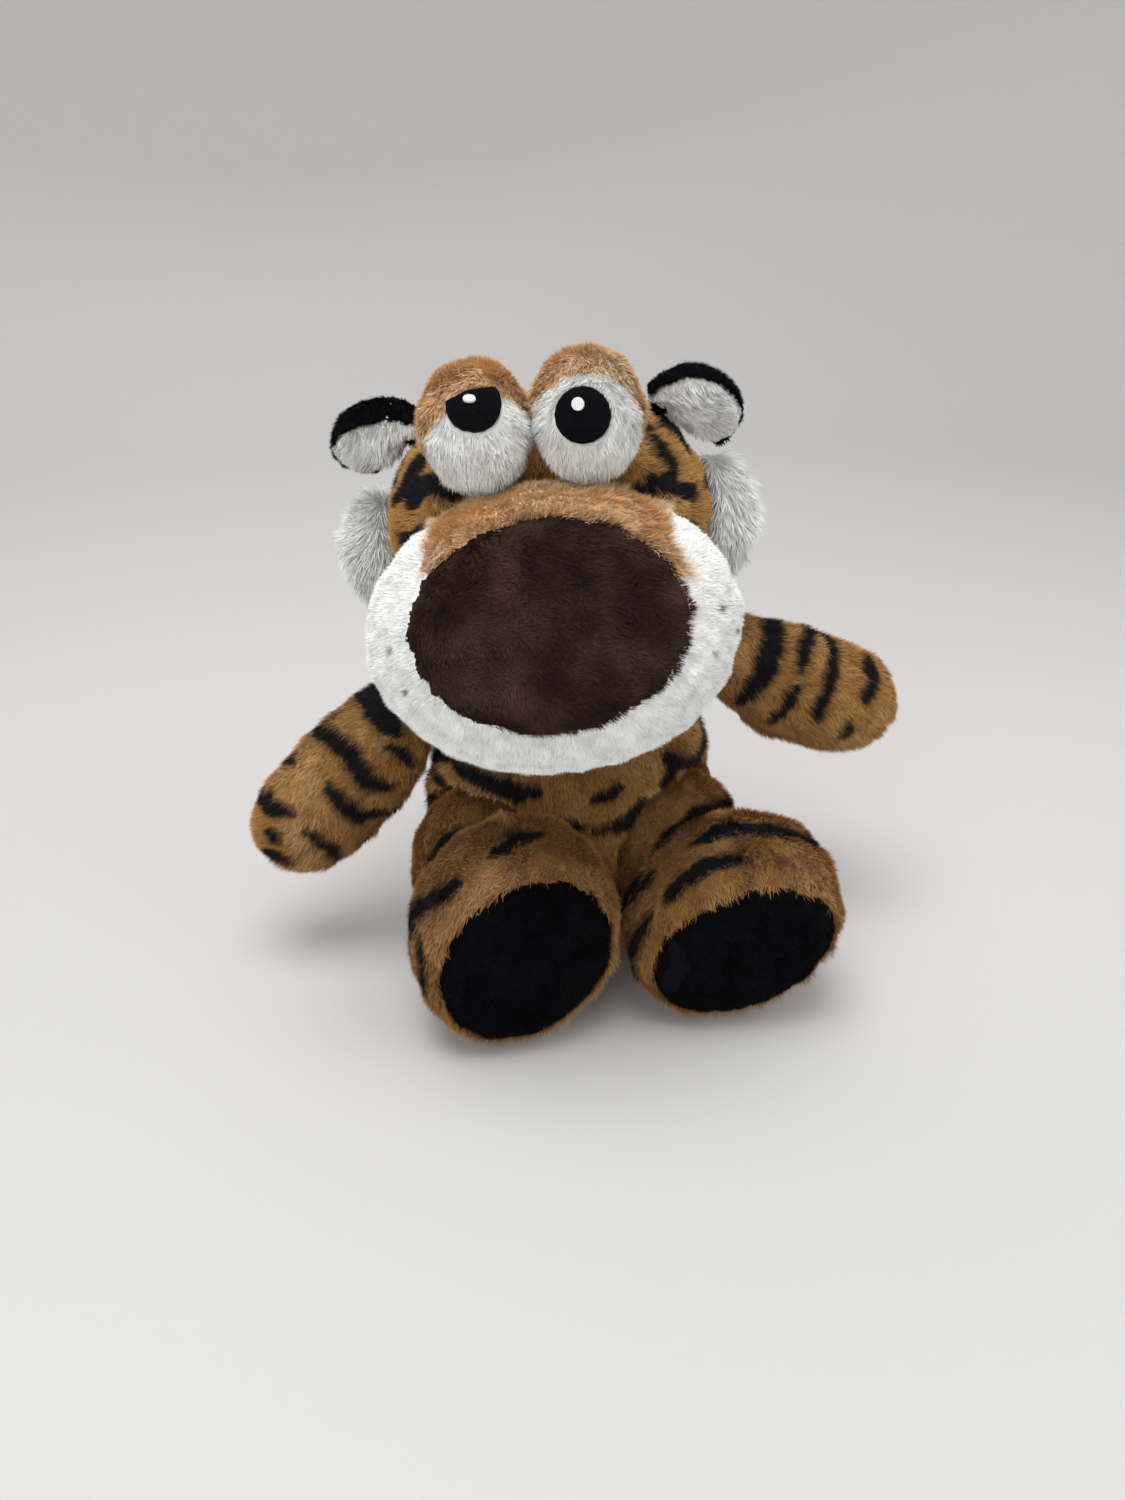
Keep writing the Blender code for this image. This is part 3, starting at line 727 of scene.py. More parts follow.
@dataclass(frozen=True)
class Pile:
    """The fibres of one plush, each a tapered blade."""

    length: float = 0.0030
    width: float = 0.00042
    per_square_mm: float = 3.2
    lean: float = math.radians(56)
    segments: int = 1
    droop: float = 0.0
    clump: float = 0.0024
    gather: float = 0.35
    ragged: float = 0.30
    tuft: float = 0.0
    tuft_reach: float = 0.0026
    tuft_scatter: float = 2
    tuft_turn: float = 3
    tuft_rise: float = 0.5
    room_share: float = 1.6
    least_room: float = 0.0006
    least_length: float = 0.0004
    lean_spread: float = 0.16
    lean_waves: tuple[float, float] = (0.18, 0.006)
    lean_limits: tuple[float, float] = (0.1, 1.35)
    length_waves: tuple[float, float] = (0.12, 0.005)
    turn_spread: float = 0.22
    twist_spread: float = 0.35
    width_range: tuple[float, float] = (0.7, 1.3)
    clump_shift: float = 0.22
    root_depth: float = 0.0003
    narrowing: float = 0.55
    tone_spread: float = 0.22
    tone_waves: tuple[float, float] = (0.2, 0.0035)

    def grow(self, name: str, ground: "Ground", comb: Comb, seed: int) -> bpy.types.Object | None:
        """Grows the pile on a stretch of cloth.

        Args:
            name: The new piece's name.
            ground: The cloth it grows on.
            comb: How it is combed.
            seed: Picks the roots.

        Returns:
            The new piece, or None where the cloth has no room for it.
        """
        rng = np.random.default_rng(seed)
        roots, normals, values = ground.scatter(self.per_square_mm * 1e6, rng)
        room = values["room"]
        kept = room > self.least_room
        roots, normals, room = roots[kept], normals[kept], room[kept]
        tuft = self.tuft * np.exp(-((values["seam"][kept] / self.tuft_reach) ** 2))
        count = len(roots)
        if not count:
            return None
        flow = comb.lay(roots, normals, ground.centre, seed)
        lean_share, lean_patch = self.lean_waves
        lean = self.lean + rng.normal(0, self.lean_spread, count) * (1 + self.tuft_scatter * tuft)
        lean += lean_share * swirl(roots, lean_patch, seed + 5)
        lean -= self.tuft_rise * tuft
        lean = np.clip(lean, *self.lean_limits)[:, None]
        length_share, length_patch = self.length_waves
        lengths = self.length * (1 + self.ragged * rng.uniform(-1, 1, count))
        lengths *= (1 + length_share * swirl(roots, length_patch, seed + 7)) * (1 + tuft)
        lengths = np.minimum(lengths, room * self.room_share + self.least_length)
        turn = (rng.normal(0, self.turn_spread, count) * (1 + self.tuft_turn * tuft))[:, None]
        across = np.cross(normals, flow)
        flow = unit(flow * np.cos(turn) + across * np.sin(turn))
        rise = normals * np.cos(lean)
        run = flow * np.sin(lean)
        tips = roots + (rise + run) * lengths[:, None]
        tips = self.gathered(roots, tips, rng)
        along = unit(tips - roots)
        wide = unit(np.cross(along, normals) + rng.normal(0, self.twist_spread, (count, 3)))
        wide = unit(wide - along * (wide * along).sum(axis=1, keepdims=True))
        wide *= (self.width / 2 * rng.uniform(*self.width_range, count))[:, None]
        free = ground.clear(roots, tips)
        return self.blades(name, roots[free], tips[free], wide[free], normals[free], ground.printer, rng)

    def gathered(self, roots: np.ndarray, tips: np.ndarray, rng: np.random.Generator) -> np.ndarray:
        """Draws neighbouring tips together into tufts.

        Args:
            roots: The blades' roots.
            tips: The blades' tips.
            rng: Moves the grid that the tufts come from.

        Returns:
            The new tips.
        """
        shifted = roots + rng.normal(0, self.clump * self.clump_shift, roots.shape)
        cells = np.floor(shifted / self.clump).astype(np.int64)
        _, group = np.unique(cells, axis=0, return_inverse=True)
        group = group.ravel()
        sizes = np.bincount(group).astype(float)
        middle = np.stack([np.bincount(group, weights=tips[:, k]) / sizes for k in range(3)], axis=1)
        return tips + (middle[group] - tips) * self.gather

    def blades(
        self, name: str, roots: np.ndarray, tips: np.ndarray, wide: np.ndarray, normals: np.ndarray,
        printer: "StuffedForm", rng: np.random.Generator,
    ) -> bpy.types.Object:
        """Makes the blades' mesh.

        Args:
            name: The new piece's name.
            roots: The blades' roots.
            tips: The blades' tips.
            wide: Half of each blade's width, as a vector.
            normals: The cloth's normals at the roots.
            printer: The form whose print the blades carry.
            rng: Picks the tones.

        Returns:
            The piece, with its values for the material.
        """
        count, levels = len(roots), self.segments
        per = 2 * levels + 1
        points = np.empty((count, per, 3))
        rises = np.empty(per)
        marks = np.empty((count, per))
        sunk = roots - normals * self.root_depth
        for level in range(levels):
            share = level / levels
            arch = self.droop * 4 * share * (1 - share)
            bow = normals * (arch * np.linalg.norm(tips - roots, axis=1))[:, None]
            middle = sunk + (tips - sunk) * share + bow
            narrow = wide * (1 - self.narrowing * share)
            points[:, 2 * level] = middle - narrow
            points[:, 2 * level + 1] = middle + narrow
            rises[2 * level : 2 * level + 2] = share
            marks[:, 2 * level : 2 * level + 2] = printer.printed(flatten(middle, roots, normals))[:, None]
        points[:, -1] = tips
        marks[:, -1] = printer.printed(flatten(tips, roots, normals))
        points[:, :, 2] = np.maximum(points[:, :, 2], FLOOR_CLEAR)
        rises[-1] = 1
        base = np.arange(count)[:, None] * per
        corners = []
        for level in range(levels - 1):
            low = 2 * level
            corners.append(base + np.array([low, low + 1, low + 3]))
            corners.append(base + np.array([low, low + 3, low + 2]))
        corners.append(base + np.array([per - 3, per - 2, per - 1]))
        faces = np.stack(corners, axis=1).reshape(-1, 3)
        mesh = bpy.data.meshes.new(name)
        mesh.vertices.add(count * per)
        mesh.loops.add(faces.size)
        mesh.polygons.add(len(faces))
        mesh.vertices.foreach_set("co", points.ravel())
        mesh.loops.foreach_set("vertex_index", faces.ravel())
        mesh.polygons.foreach_set("loop_start", np.arange(len(faces)) * 3)
        mesh.update(calc_edges=True)
        tone_share, tone_patch = self.tone_waves
        tone = rng.normal(0.5, self.tone_spread, count) + tone_share * swirl(roots, tone_patch, TONE_SEED)
        set_floats(mesh, "rise", np.tile(rises, count))
        set_floats(mesh, "tone", np.repeat(np.clip(tone, 0, 1), per))
        set_floats(mesh, "print", marks.ravel())
        self.unwrap(mesh, count, per, rises, faces)
        return link(name, mesh)

    @staticmethod
    def unwrap(mesh: bpy.types.Mesh, count: int, per: int, rises: np.ndarray, faces: np.ndarray) -> None:
        """Gives each blade a cell of its own in a map that can hold its colour.

        Args:
            mesh: The blades.
            count: How many blades there are.
            per: The points of a blade.
            rises: How far up the blade each point is.
            faces: The blades' faces.
        """
        wide = math.ceil(math.sqrt(count))
        cells = np.stack([np.arange(count) % wide, np.arange(count) // wide], axis=1) / wide
        side = np.where(np.arange(per) == per - 1, 0.5, np.arange(per) % 2)
        inside = np.stack([CELL_EDGE + CELL_SPAN * side, CELL_EDGE + CELL_SPAN * rises], axis=1) / wide
        places = (cells[:, None, :] + inside[None, :, :]).reshape(-1, 2)
        layer = mesh.uv_layers.new(name="OFBake")
        layer.uv.foreach_set("vector", places[faces.ravel()].astype(np.float32).ravel())


@dataclass
class Ground:
    """A stretch of cloth that pile grows on."""

    points: np.ndarray
    normals: np.ndarray
    triangles: np.ndarray
    values: dict[str, np.ndarray]
    centre: np.ndarray
    printer: "StuffedForm"
    barrier: BVHTree | None = None

    def clear(self, roots: np.ndarray, tips: np.ndarray) -> np.ndarray:
        """Tells which blades stay on their own side of the neighbour that they must not pierce.

        Args:
            roots: The blades' roots.
            tips: The blades' tips.

        Returns:
            One mark for each blade.
        """
        if self.barrier is None:
            return np.ones(len(roots), bool)
        ways = tips - roots
        reaches = np.linalg.norm(ways, axis=1) + COVER_GAP
        hits = (self.barrier.ray_cast(root, way, reach)[0] for root, way, reach in zip(roots, ways, reaches))
        return np.array([hit is None for hit in hits])

    def scatter(
        self, density: float, rng: np.random.Generator
    ) -> tuple[np.ndarray, np.ndarray, dict[str, np.ndarray]]:
        """Scatters roots over the cloth.

        Args:
            density: Roots per square metre.
            rng: Picks them.

        Returns:
            The roots, the normals and the cloth's values there.
        """
        corners = self.points[self.triangles]
        spans = np.cross(corners[:, 1] - corners[:, 0], corners[:, 2] - corners[:, 0])
        areas = np.linalg.norm(spans, axis=1) / 2
        count = int(areas.sum() * density)
        picked = rng.choice(len(areas), size=count, p=areas / areas.sum()) if count else np.zeros(0, int)
        shares = rng.uniform(size=(count, 2))
        folded = shares.sum(axis=1) > 1
        shares[folded] = 1 - shares[folded]
        weights = np.column_stack([1 - shares.sum(axis=1), shares])
        rows = self.triangles[picked]
        roots = (self.points[rows] * weights[:, :, None]).sum(axis=1)
        normals = unit((self.normals[rows] * weights[:, :, None]).sum(axis=1))
        values = {key: (value[rows] * weights).sum(axis=1) for key, value in self.values.items()}
        return roots, normals, values


@dataclass
class StuffedForm:
    """One stuffed form of the toy: its panels sewn to one cover, blown up by its stuffing, with pile on it.

    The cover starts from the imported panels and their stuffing, so it lies where they do.
    """

    name: str = ""
    body: str = ""
    panels: dict[str, Cloth] = field(default_factory=dict)
    fillings: tuple[str, ...] = ()
    voxel: float = 0.0030
    inset: float = 0.0022
    insets: dict[Cloth, float] = field(default_factory=dict)
    swell: float = 0.0016
    smoothing: int = 10
    seam_depth: float = 0.0008
    seam_width: float = 0.0022
    fill: float = 0.8
    full: bool = False
    levels: int = 1
    stripes: tuple = ()
    marks: tuple = ()
    creases: tuple = ()
    piles: dict[Cloth, Pile] = field(default_factory=dict)
    combs: dict[Cloth, Comb] = field(default_factory=dict)
    axis: tuple[str, tuple[float, float, float]] | None = None
    seed: int = 1
    stripe_edge: float = 0.0006
    barrier: BVHTree | None = None

    def prepare(self) -> None:
        """Sews the panels and the stuffing to one closed mesh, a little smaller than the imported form."""
        joined = bmesh.new()
        for node in (*self.panels, *self.fillings):
            joined.from_mesh(frame["nodes"][node].data)
        if self.full:
            self.close_cup(joined)
        mesh = bpy.data.meshes.new(self.name)
        joined.to_mesh(mesh)
        joined.free()
        mesh.materials.clear()
        self.cover = link(self.name, mesh)
        remesh = self.cover.modifiers.new("sew", "REMESH")
        remesh.mode = "VOXEL"
        remesh.voxel_size = self.voxel
        smooth = self.cover.modifiers.new("ease", "SMOOTH")
        smooth.factor = 0.5
        smooth.iterations = self.smoothing
        settle(self.cover)
        self.keep_outside()
        points = points_of(self.cover.data)
        sunk = self.inset_at(points)[:, None]
        move_points(self.cover.data, points - normals_of(self.cover.data) * sunk)
        self.start = points_of(self.cover.data)

    @staticmethod
    def close_cup(bm: bmesh.types.BMesh) -> None:
        """Fills the hollow of a cupped piece, as its fur does.

        Args:
            bm: The piece, which is changed to its own hull.
        """
        hull = bmesh.ops.convex_hull(bm, input=bm.verts)
        unused = hull["geom_interior"] + hull["geom_unused"]
        spare = [item for item in unused if isinstance(item, bmesh.types.BMVert)]
        bmesh.ops.delete(bm, geom=spare, context="VERTS")
        kept = {face for face in hull["geom"] if isinstance(face, bmesh.types.BMFace)}
        inner = [face for face in bm.faces if face not in kept]
        bmesh.ops.delete(bm, geom=inner, context="FACES_ONLY")

    def inset_at(self, points: np.ndarray) -> np.ndarray:
        """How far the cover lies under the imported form, so that the tips of its pile reach that form.

        Args:
            points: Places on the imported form.

        Returns:
            The depth at each place, eased across the seams between cloths of unlike depth.
        """
        if not self.insets:
            return np.full(len(points), self.inset)
        depths = np.array([self.insets.get(cloth, self.inset) for cloth in self.panels.values()])
        label, seam = self.seam_distance(points)
        share = np.clip(seam / INSET_EASE, 0, 1)
        return depths[label] * share + depths.mean() * (1 - share)

    def keep_outside(self) -> None:
        """Drops every loose shell but the largest one."""
        bm = bmesh.new()
        bm.from_mesh(self.cover.data)
        left, shells = set(bm.verts), []
        while left:
            first = left.pop()
            shell, edge = {first}, [first]
            while edge:
                for line in edge.pop().link_edges:
                    for vert in line.verts:
                        if vert in left:
                            left.discard(vert)
                            shell.add(vert)
                            edge.append(vert)
            shells.append(shell)
        shells.sort(key=len)
        for shell in shells[:-1]:
            bmesh.ops.delete(bm, geom=list(shell), context="VERTS")
        bm.to_mesh(self.cover.data)
        bm.free()

    def seam_distance(self, points: np.ndarray) -> tuple[np.ndarray, np.ndarray]:
        """Finds the panel at each point and how far its nearest seam is.

        Args:
            points: Places on the cover.

        Returns:
            The number of the panel, and the distance to the next one.
        """
        trees = [tree_of(frame["nodes"][node].data) for node in self.panels]
        reach = np.stack([distances(points, tree, PANEL_REACH) for tree in trees], axis=1)
        nearest = reach.argmin(axis=1)
        if reach.shape[1] == 1:
            return nearest, np.full(len(points), SEARCH_REACH)
        ordered = np.sort(reach, axis=1)
        return nearest, np.minimum(ordered[:, 1] - ordered[:, 0], SEARCH_REACH)

    def blow_up(self) -> None:
        """Adds the cloth simulation, with the cover held along its seams."""
        _, seam = self.seam_distance(self.start)
        group = self.cover.vertex_groups.new(name="seams")
        for index, gap in enumerate(seam):
            group.add([index], max(0.0, 1 - gap / PIN_REACH), "REPLACE")
        cloth = self.cover.modifiers.new("stuffing", "CLOTH")
        cloth.settings.use_pressure = True
        cloth.settings.uniform_pressure_force = PRESSURE
        cloth.settings.effector_weights.gravity = 0
        cloth.settings.vertex_group_mass = "seams"
        cloth.point_cache.frame_start = 1
        cloth.point_cache.frame_end = SIM_FRAMES

    def take_swell(self) -> None:
        """Keeps what the simulation moved, up to the cap, and takes the simulation off."""
        graph = bpy.context.evaluated_depsgraph_get()
        blown = self.cover.evaluated_get(graph).to_mesh()
        step = points_of(blown) - self.start
        self.cover.evaluated_get(graph).to_mesh_clear()
        self.cover.modifiers.clear()
        size = np.linalg.norm(step, axis=1, keepdims=True)
        step *= np.minimum(1, self.swell / np.maximum(size, 1e-9))
        move_points(self.cover.data, self.start + step)
        self.cover.vertex_groups.clear()

    def refine(self) -> None:
        """Subdivides the cover and pinches it along its seams."""
        divide = self.cover.modifiers.new("round", "SUBSURF")
        divide.levels = self.levels
        settle(self.cover)
        mesh = self.cover.data
        points, normals = points_of(mesh), normals_of(mesh)
        self.label, self.seam = self.seam_distance(points)
        pinch = self.seam_depth * np.exp(-((self.seam / self.seam_width) ** 2))
        ripple = layered_swirl(points, RIPPLES, self.seed)
        move_points(mesh, points + normals * (ripple - pinch)[:, None])

    def press(self, neighbours: list["StuffedForm"]) -> None:
        """Pushes the cover out of its neighbours and notes how much room the pile has.

        Args:
            neighbours: The finished forms that this one meets.
        """
        mesh = self.cover.data
        points = points_of(mesh)
        room = np.full(len(points), ROOM_LIMIT)
        for other in neighbours:
            low, high = other.box()
            near = np.all((points > low - SEARCH_REACH) & (points < high + SEARCH_REACH), axis=1)
            for index in np.flatnonzero(near):
                place, normal, _, reach = other.tree.find_nearest(points[index], SEARCH_REACH)
                if place is None:
                    continue
                beyond = (Vector(points[index]) - place).dot(normal)
                if reach < COVER_GAP or (reach < PUSH_REACH and beyond < -INSIDE_SHARE * reach):
                    points[index] = place + normal * COVER_GAP
                    reach = COVER_GAP
                room[index] = min(room[index], reach)
        move_points(mesh, points)
        self.room = room
        self.tree = tree_of(mesh)
        self.fold()

    def fold(self) -> None:
        """Draws the cover in along its darts."""
        mesh = self.cover.data
        for crease in self.creases:
            points, normals = points_of(mesh), normals_of(mesh)
            gap = np.full(len(points), FAR_AWAY)
            for place in crease.middle(self, CREASE_STEP):
                gap = np.minimum(gap, np.linalg.norm(points - place, axis=1))
            depth = crease.depth * np.exp(-((gap / crease.width) ** 2))
            move_points(mesh, points - normals * depth[:, None])
            self.room = np.where(gap < crease.width / 2, np.minimum(self.room, CREASE_ROOM), self.room)
            self.seam = np.minimum(self.seam, gap)

    def box(self) -> tuple[np.ndarray, np.ndarray]:
        """The lowest and highest corner of the cover."""
        points = points_of(self.cover.data)
        return points.min(axis=0), points.max(axis=0)

    def seen_at(self, pixel: Pixel) -> np.ndarray:
        """Finds the point of the cover that a pixel of the photograph shows.

        Args:
            pixel: The pixel.

        Returns:
            That point, or the nearest one where the sight line passes the cover by.
        """
        eye, way = VIEW.ray(pixel)
        hit = self.tree.ray_cast(eye, way)[0]
        if hit is None:
            centre = Vector(self.middle_point())
            hit = self.tree.find_nearest(eye + way * (centre - eye).dot(way))[0]
        return np.array(hit)

    def middle_point(self) -> np.ndarray:
        """The middle of the cover's box."""
        low, high = self.box()
        return (low + high) / 2

    def joint_place(self) -> Vector:
        """Where the joint that the form turns on lies."""
        return next(Vector(joint["pos_m"]) for joint in frame["joints"] if joint["name"] == self.axis[0])

    def axis_line(self) -> tuple[Vector, Vector, float]:
        """The form's own axis.

        Returns:
            Its start, its direction and its length. An axis given by a joint runs from there.
        """
        low, high = (Vector(corner) for corner in self.box())
        if self.axis is None:
            base = Vector(((low.x + high.x) / 2, (low.y + high.y) / 2, low.z))
            return base, Vector((0, 0, 1)), high.z - low.z
        toward = self.axis[1]
        start = self.joint_place()
        end = Vector(points_of(self.cover.data).mean(axis=0)) if toward is None else start + Vector(toward)
        way = (end - start).normalized()
        reach = max((Vector(p) - start).dot(way) for p in points_of(self.cover.data))
        return start, way, reach

    def round_at(self, share: float, turn: float) -> np.ndarray:
        """The point of the cover at a share of its axis and an angle about it.

        Args:
            share: How far along the axis, from 0 to 1.
            turn: Degrees about the axis, with 0 to the front or the top.

        Returns:
            The point on the cover.
        """
        start, way, length = self.axis_line()
        middle = start + way * (length * share)
        front = Vector((0, -1, 0)) if abs(way.y) < UPRIGHT_LIMIT else Vector((0, 0, 1))
        front = (front - way * front.dot(way)).normalized()
        side = way.cross(front)
        out = front * math.cos(math.radians(turn)) + side * math.sin(math.radians(turn))
        hit = self.tree.ray_cast(middle + out * ROUND_REACH, -out)[0]
        return np.array(hit if hit is not None else self.tree.find_nearest(middle)[0])

    def draw(self) -> None:
        """Works out where the stripes and marks run on the cover."""
        self.strokes = []
        for stripe in (*self.stripes, *self.marks):
            middle = stripe.middle(self, STRIPE_STEP)
            share = np.linspace(-1, 1, len(middle))
            taper = np.sqrt(np.maximum(STRIPE_TIP_SHARE, 1 - np.abs(share) ** STRIPE_TAPER))
            self.strokes.append((middle, STRIPE_GAIN * stripe.width / 2 * taper))

    def printed(self, points: np.ndarray) -> np.ndarray:
        """How much of the print each point carries.

        Args:
            points: Places on the cover.

        Returns:
            From 0 for none to 1 inside a stripe.
        """
        result = np.zeros(len(points))
        edge = layered_swirl(points, EDGE_WAVES, self.seed)
        for middle, half in self.strokes:
            low, high = middle.min(axis=0) - STRIPE_MARGIN, middle.max(axis=0) + STRIPE_MARGIN
            near = np.flatnonzero(np.all((points > low) & (points < high), axis=1))
            if not len(near):
                continue
            gap = np.full(len(near), FAR_AWAY)
            for place, reach in zip(middle, half):
                gap = np.minimum(gap, np.linalg.norm(points[near] - place, axis=1) - reach)
            inside = np.clip(0.5 - (gap + edge[near]) / self.stripe_edge, 0, 1)
            result[near] = np.maximum(result[near], inside)
        return result

    def dress(self) -> None:
        """Gives the cover its cloths, grows their pile and makes both ride on the form's body."""
        mesh = self.cover.data
        points, normals = points_of(mesh), normals_of(mesh)
        cloths = list(dict.fromkeys(self.panels.values()))
        for cloth in cloths:
            mesh.materials.append(FINISHES[cloth].material())
        which = np.array([cloths.index(cloth) for cloth in self.panels.values()])[self.label]
        for face in mesh.polygons:
            face.material_index = int(which[face.vertices[0]])
            face.use_smooth = True
        printed = self.printed(points)
        set_floats(mesh, "print", printed)
        set_floats(mesh, "rise", np.full(len(points), COVER_RISE))
        set_floats(mesh, "tone", np.full(len(points), COVER_TONE))
        self.hand_over(self.cover, cloths[0])
        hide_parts(*self.panels, *self.fillings)
        triangles = triangles_of(mesh)
        for number, cloth in enumerate(cloths):
            if cloth not in self.piles:
                continue
            mine = triangles[(which[triangles] == number).sum(axis=1) >= 2]
            values = {"room": self.room, "seam": self.seam}
            ground = Ground(points, normals, mine, values, self.middle_point(), self, self.barrier)
            comb = self.combs.get(cloth, Comb())
            grown = self.piles[cloth].grow(f"{self.name}_{cloth.value}_pile", ground, comb, self.seed)
            if grown:
                grown.data.materials.append(FINISHES[cloth].material())
                self.hand_over(grown, cloth)
        LOG.info("%s: %d faces on its cover, rides on %s", self.name, len(mesh.polygons), self.body)

    def hand_over(self, piece: bpy.types.Object, cloth: Cloth) -> None:
        """Makes a piece ride on the form's body."""
        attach(piece, self.body)


def triangles_of(mesh: bpy.types.Mesh) -> np.ndarray:
    """Splits the faces of a mesh into triangles.

    Args:
        mesh: The mesh.

    Returns:
        Rows of three vertex numbers.
    """
    mesh.calc_loop_triangles()
    flat = np.empty(len(mesh.loop_triangles) * 3, dtype=np.int32)
    mesh.loop_triangles.foreach_get("vertices", flat)
    return flat.reshape(-1, 3)


SHORT = Pile(length=0.0032, width=0.00032, per_square_mm=5.0, tuft=0.5)
COAT = Pile(length=0.0032, width=0.00036, per_square_mm=4.0, tuft=0.5)
SLEEK = Pile(length=0.0024, lean=math.radians(60), width=0.00034, per_square_mm=5.2, gather=0.25, ragged=0.2)
FLUFF = Pile(
    length=0.0030, lean=math.radians(52), width=0.00034, per_square_mm=7.5, clump=0.0018, gather=0.22,
)
SHAGGY = Pile(
    length=0.0032, lean=math.radians(58), width=0.00030, per_square_mm=7.5,
    segments=2, droop=0.06, clump=0.0022, gather=0.30,
)
LINING = Pile(
    length=0.0062, lean=math.radians(46), width=0.00036, per_square_mm=5.0,
    segments=2, droop=0.08, clump=0.0030, gather=0.40, room_share=0.9,
)
LONG = Pile(
    length=0.0072, lean=math.radians(54), width=0.00034, per_square_mm=6.0,
    segments=3, droop=0.10, clump=0.0032, gather=0.30, ragged=0.5,
)
STUBBLE = Pile(length=0.0016, lean=math.radians(50), width=0.00034, per_square_mm=5.6, gather=0.15)


@dataclass
class Torso(StuffedForm):
    """The barrel of the body, four striped panels round the stuffing and the pellet pouch."""

    name: str = "torso_cover"
    body: str = "torso"
    panels: dict[str, Cloth] = field(default_factory=lambda: {
        f"torso_{face}_{side}_panel": Cloth.TIGER for face in ("front", "back") for side in SIDES
    })
    fillings: tuple[str, ...] = ("torso_stuffing", "pellet_pouch")
    piles: dict[Cloth, Pile] = field(default_factory=lambda: {Cloth.TIGER: COAT})
    seed: int = 10
    stripes: tuple = (
        PhotoStripe(((455, 764), (485, 782), (515, 792), (545, 794)), 0.0062),
        PhotoStripe(((429, 769), (446, 786), (464, 795), (482, 801)), 0.0038),
        PhotoStripe(((412, 791), (428, 802), (446, 815), (466, 822), (500, 825)), 0.0040),
        PhotoStripe(((411, 804), (420, 824), (436, 838)), 0.0036),
        PhotoStripe(((505, 822), (550, 826), (592, 828)), 0.0040),
        PhotoStripe(((592, 800), (610, 795), (625, 785)), 0.0040),
        PhotoStripe(((592, 832), (625, 824), (660, 790), (682, 752)), 0.0052),
        PhotoStripe(((673, 800), (690, 772), (704, 738)), 0.0038),
        PhotoStripe(((686, 802), (700, 790), (711, 774)), 0.0040),
        *both_sides((0.80, 0.74), (48, 92), 0.0050),
        *both_sides((0.62, 0.58), (52, 100), 0.0056),
        RoundStripe((0.72, 0.80), (100, 172), 0.0060),
        RoundStripe((0.74, 0.82), (262, 188), 0.0060),
        RoundStripe((0.58, 0.62), (110, 165), 0.0050),
        RoundStripe((0.60, 0.63), (250, 192), 0.0050),
        RoundStripe((0.44, 0.46), (95, 172), 0.0060),
        RoundStripe((0.42, 0.46), (265, 187), 0.0060),
        RoundStripe((0.28, 0.30), (110, 160), 0.0045),
        RoundStripe((0.27, 0.30), (250, 200), 0.0045),
        RoundStripe((0.15, 0.17), (100, 150), 0.0050),
        RoundStripe((0.15, 0.17), (262, 208), 0.0050),
    )


@dataclass
class Head(StuffedForm):
    """The round of the head behind the muzzle."""

    name: str = "head_cover"
    body: str = "head"
    panels: dict[str, Cloth] = field(default_factory=lambda: {
        f"head_{side}_panel": Cloth.TIGER for side in SIDES
    })
    fillings: tuple[str, ...] = ("head_stuffing",)
    piles: dict[Cloth, Pile] = field(default_factory=lambda: {Cloth.TIGER: SHORT})
    combs: dict[Cloth, Comb] = field(default_factory=lambda: {Cloth.TIGER: Comb(toward=(0, 0.9, -0.5))})
    seed: int = 20
    notch: Pixel = (528, 388)
    notch_size: tuple[float, float] = (38, 26)
    notch_depth: float = 0.0062
    notch_height: float = 0.185
    stripes: tuple = (
        PhotoStripe(((424, 434), (402, 460), (386, 490)), 0.0052),
        PhotoStripe(((434, 452), (412, 476), (394, 506)), 0.0058),
        PhotoStripe(((442, 472), (424, 490), (408, 512)), 0.0048),
        PhotoStripe(((652, 410), (672, 430), (688, 456)), 0.0054),
        PhotoStripe(((648, 436), (664, 456), (676, 478)), 0.0056),
        *both_sides((0.965, 0.83), (52, 58), 0.0054),
        *both_sides((0.975, 0.80), (98, 92), 0.0058),
        *both_sides((0.985, 0.87), (150, 140), 0.0052),
        *both_sides((0.86, 0.79), (64, 88), 0.0050),
        *both_sides((0.70, 0.64), (36, 66), 0.0056),
        *both_sides((0.52, 0.48), (34, 64), 0.0054),
        *both_sides((0.36, 0.33), (36, 72), 0.0054),
        *both_sides((0.80, 0.72), (80, 168), 0.0060),
        *both_sides((0.62, 0.58), (70, 160), 0.0055),
        *both_sides((0.46, 0.42), (78, 172), 0.0060),
        *both_sides((0.30, 0.27), (85, 150), 0.0050),
    )

    def inset_at(self, points: np.ndarray) -> np.ndarray:
        """Lets the brow sink where the lids meet, so that only they show there.

        Args:
            points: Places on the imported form.

        Returns:
            The depth at each place.
        """
        away = (VIEW.pixels(points) - np.array(self.notch)) / np.array(self.notch_size)
        dip = self.notch_depth * np.exp(-(away**2).sum(axis=1))
        return self.inset + np.where(points[:, 2] > self.notch_height, dip, 0)


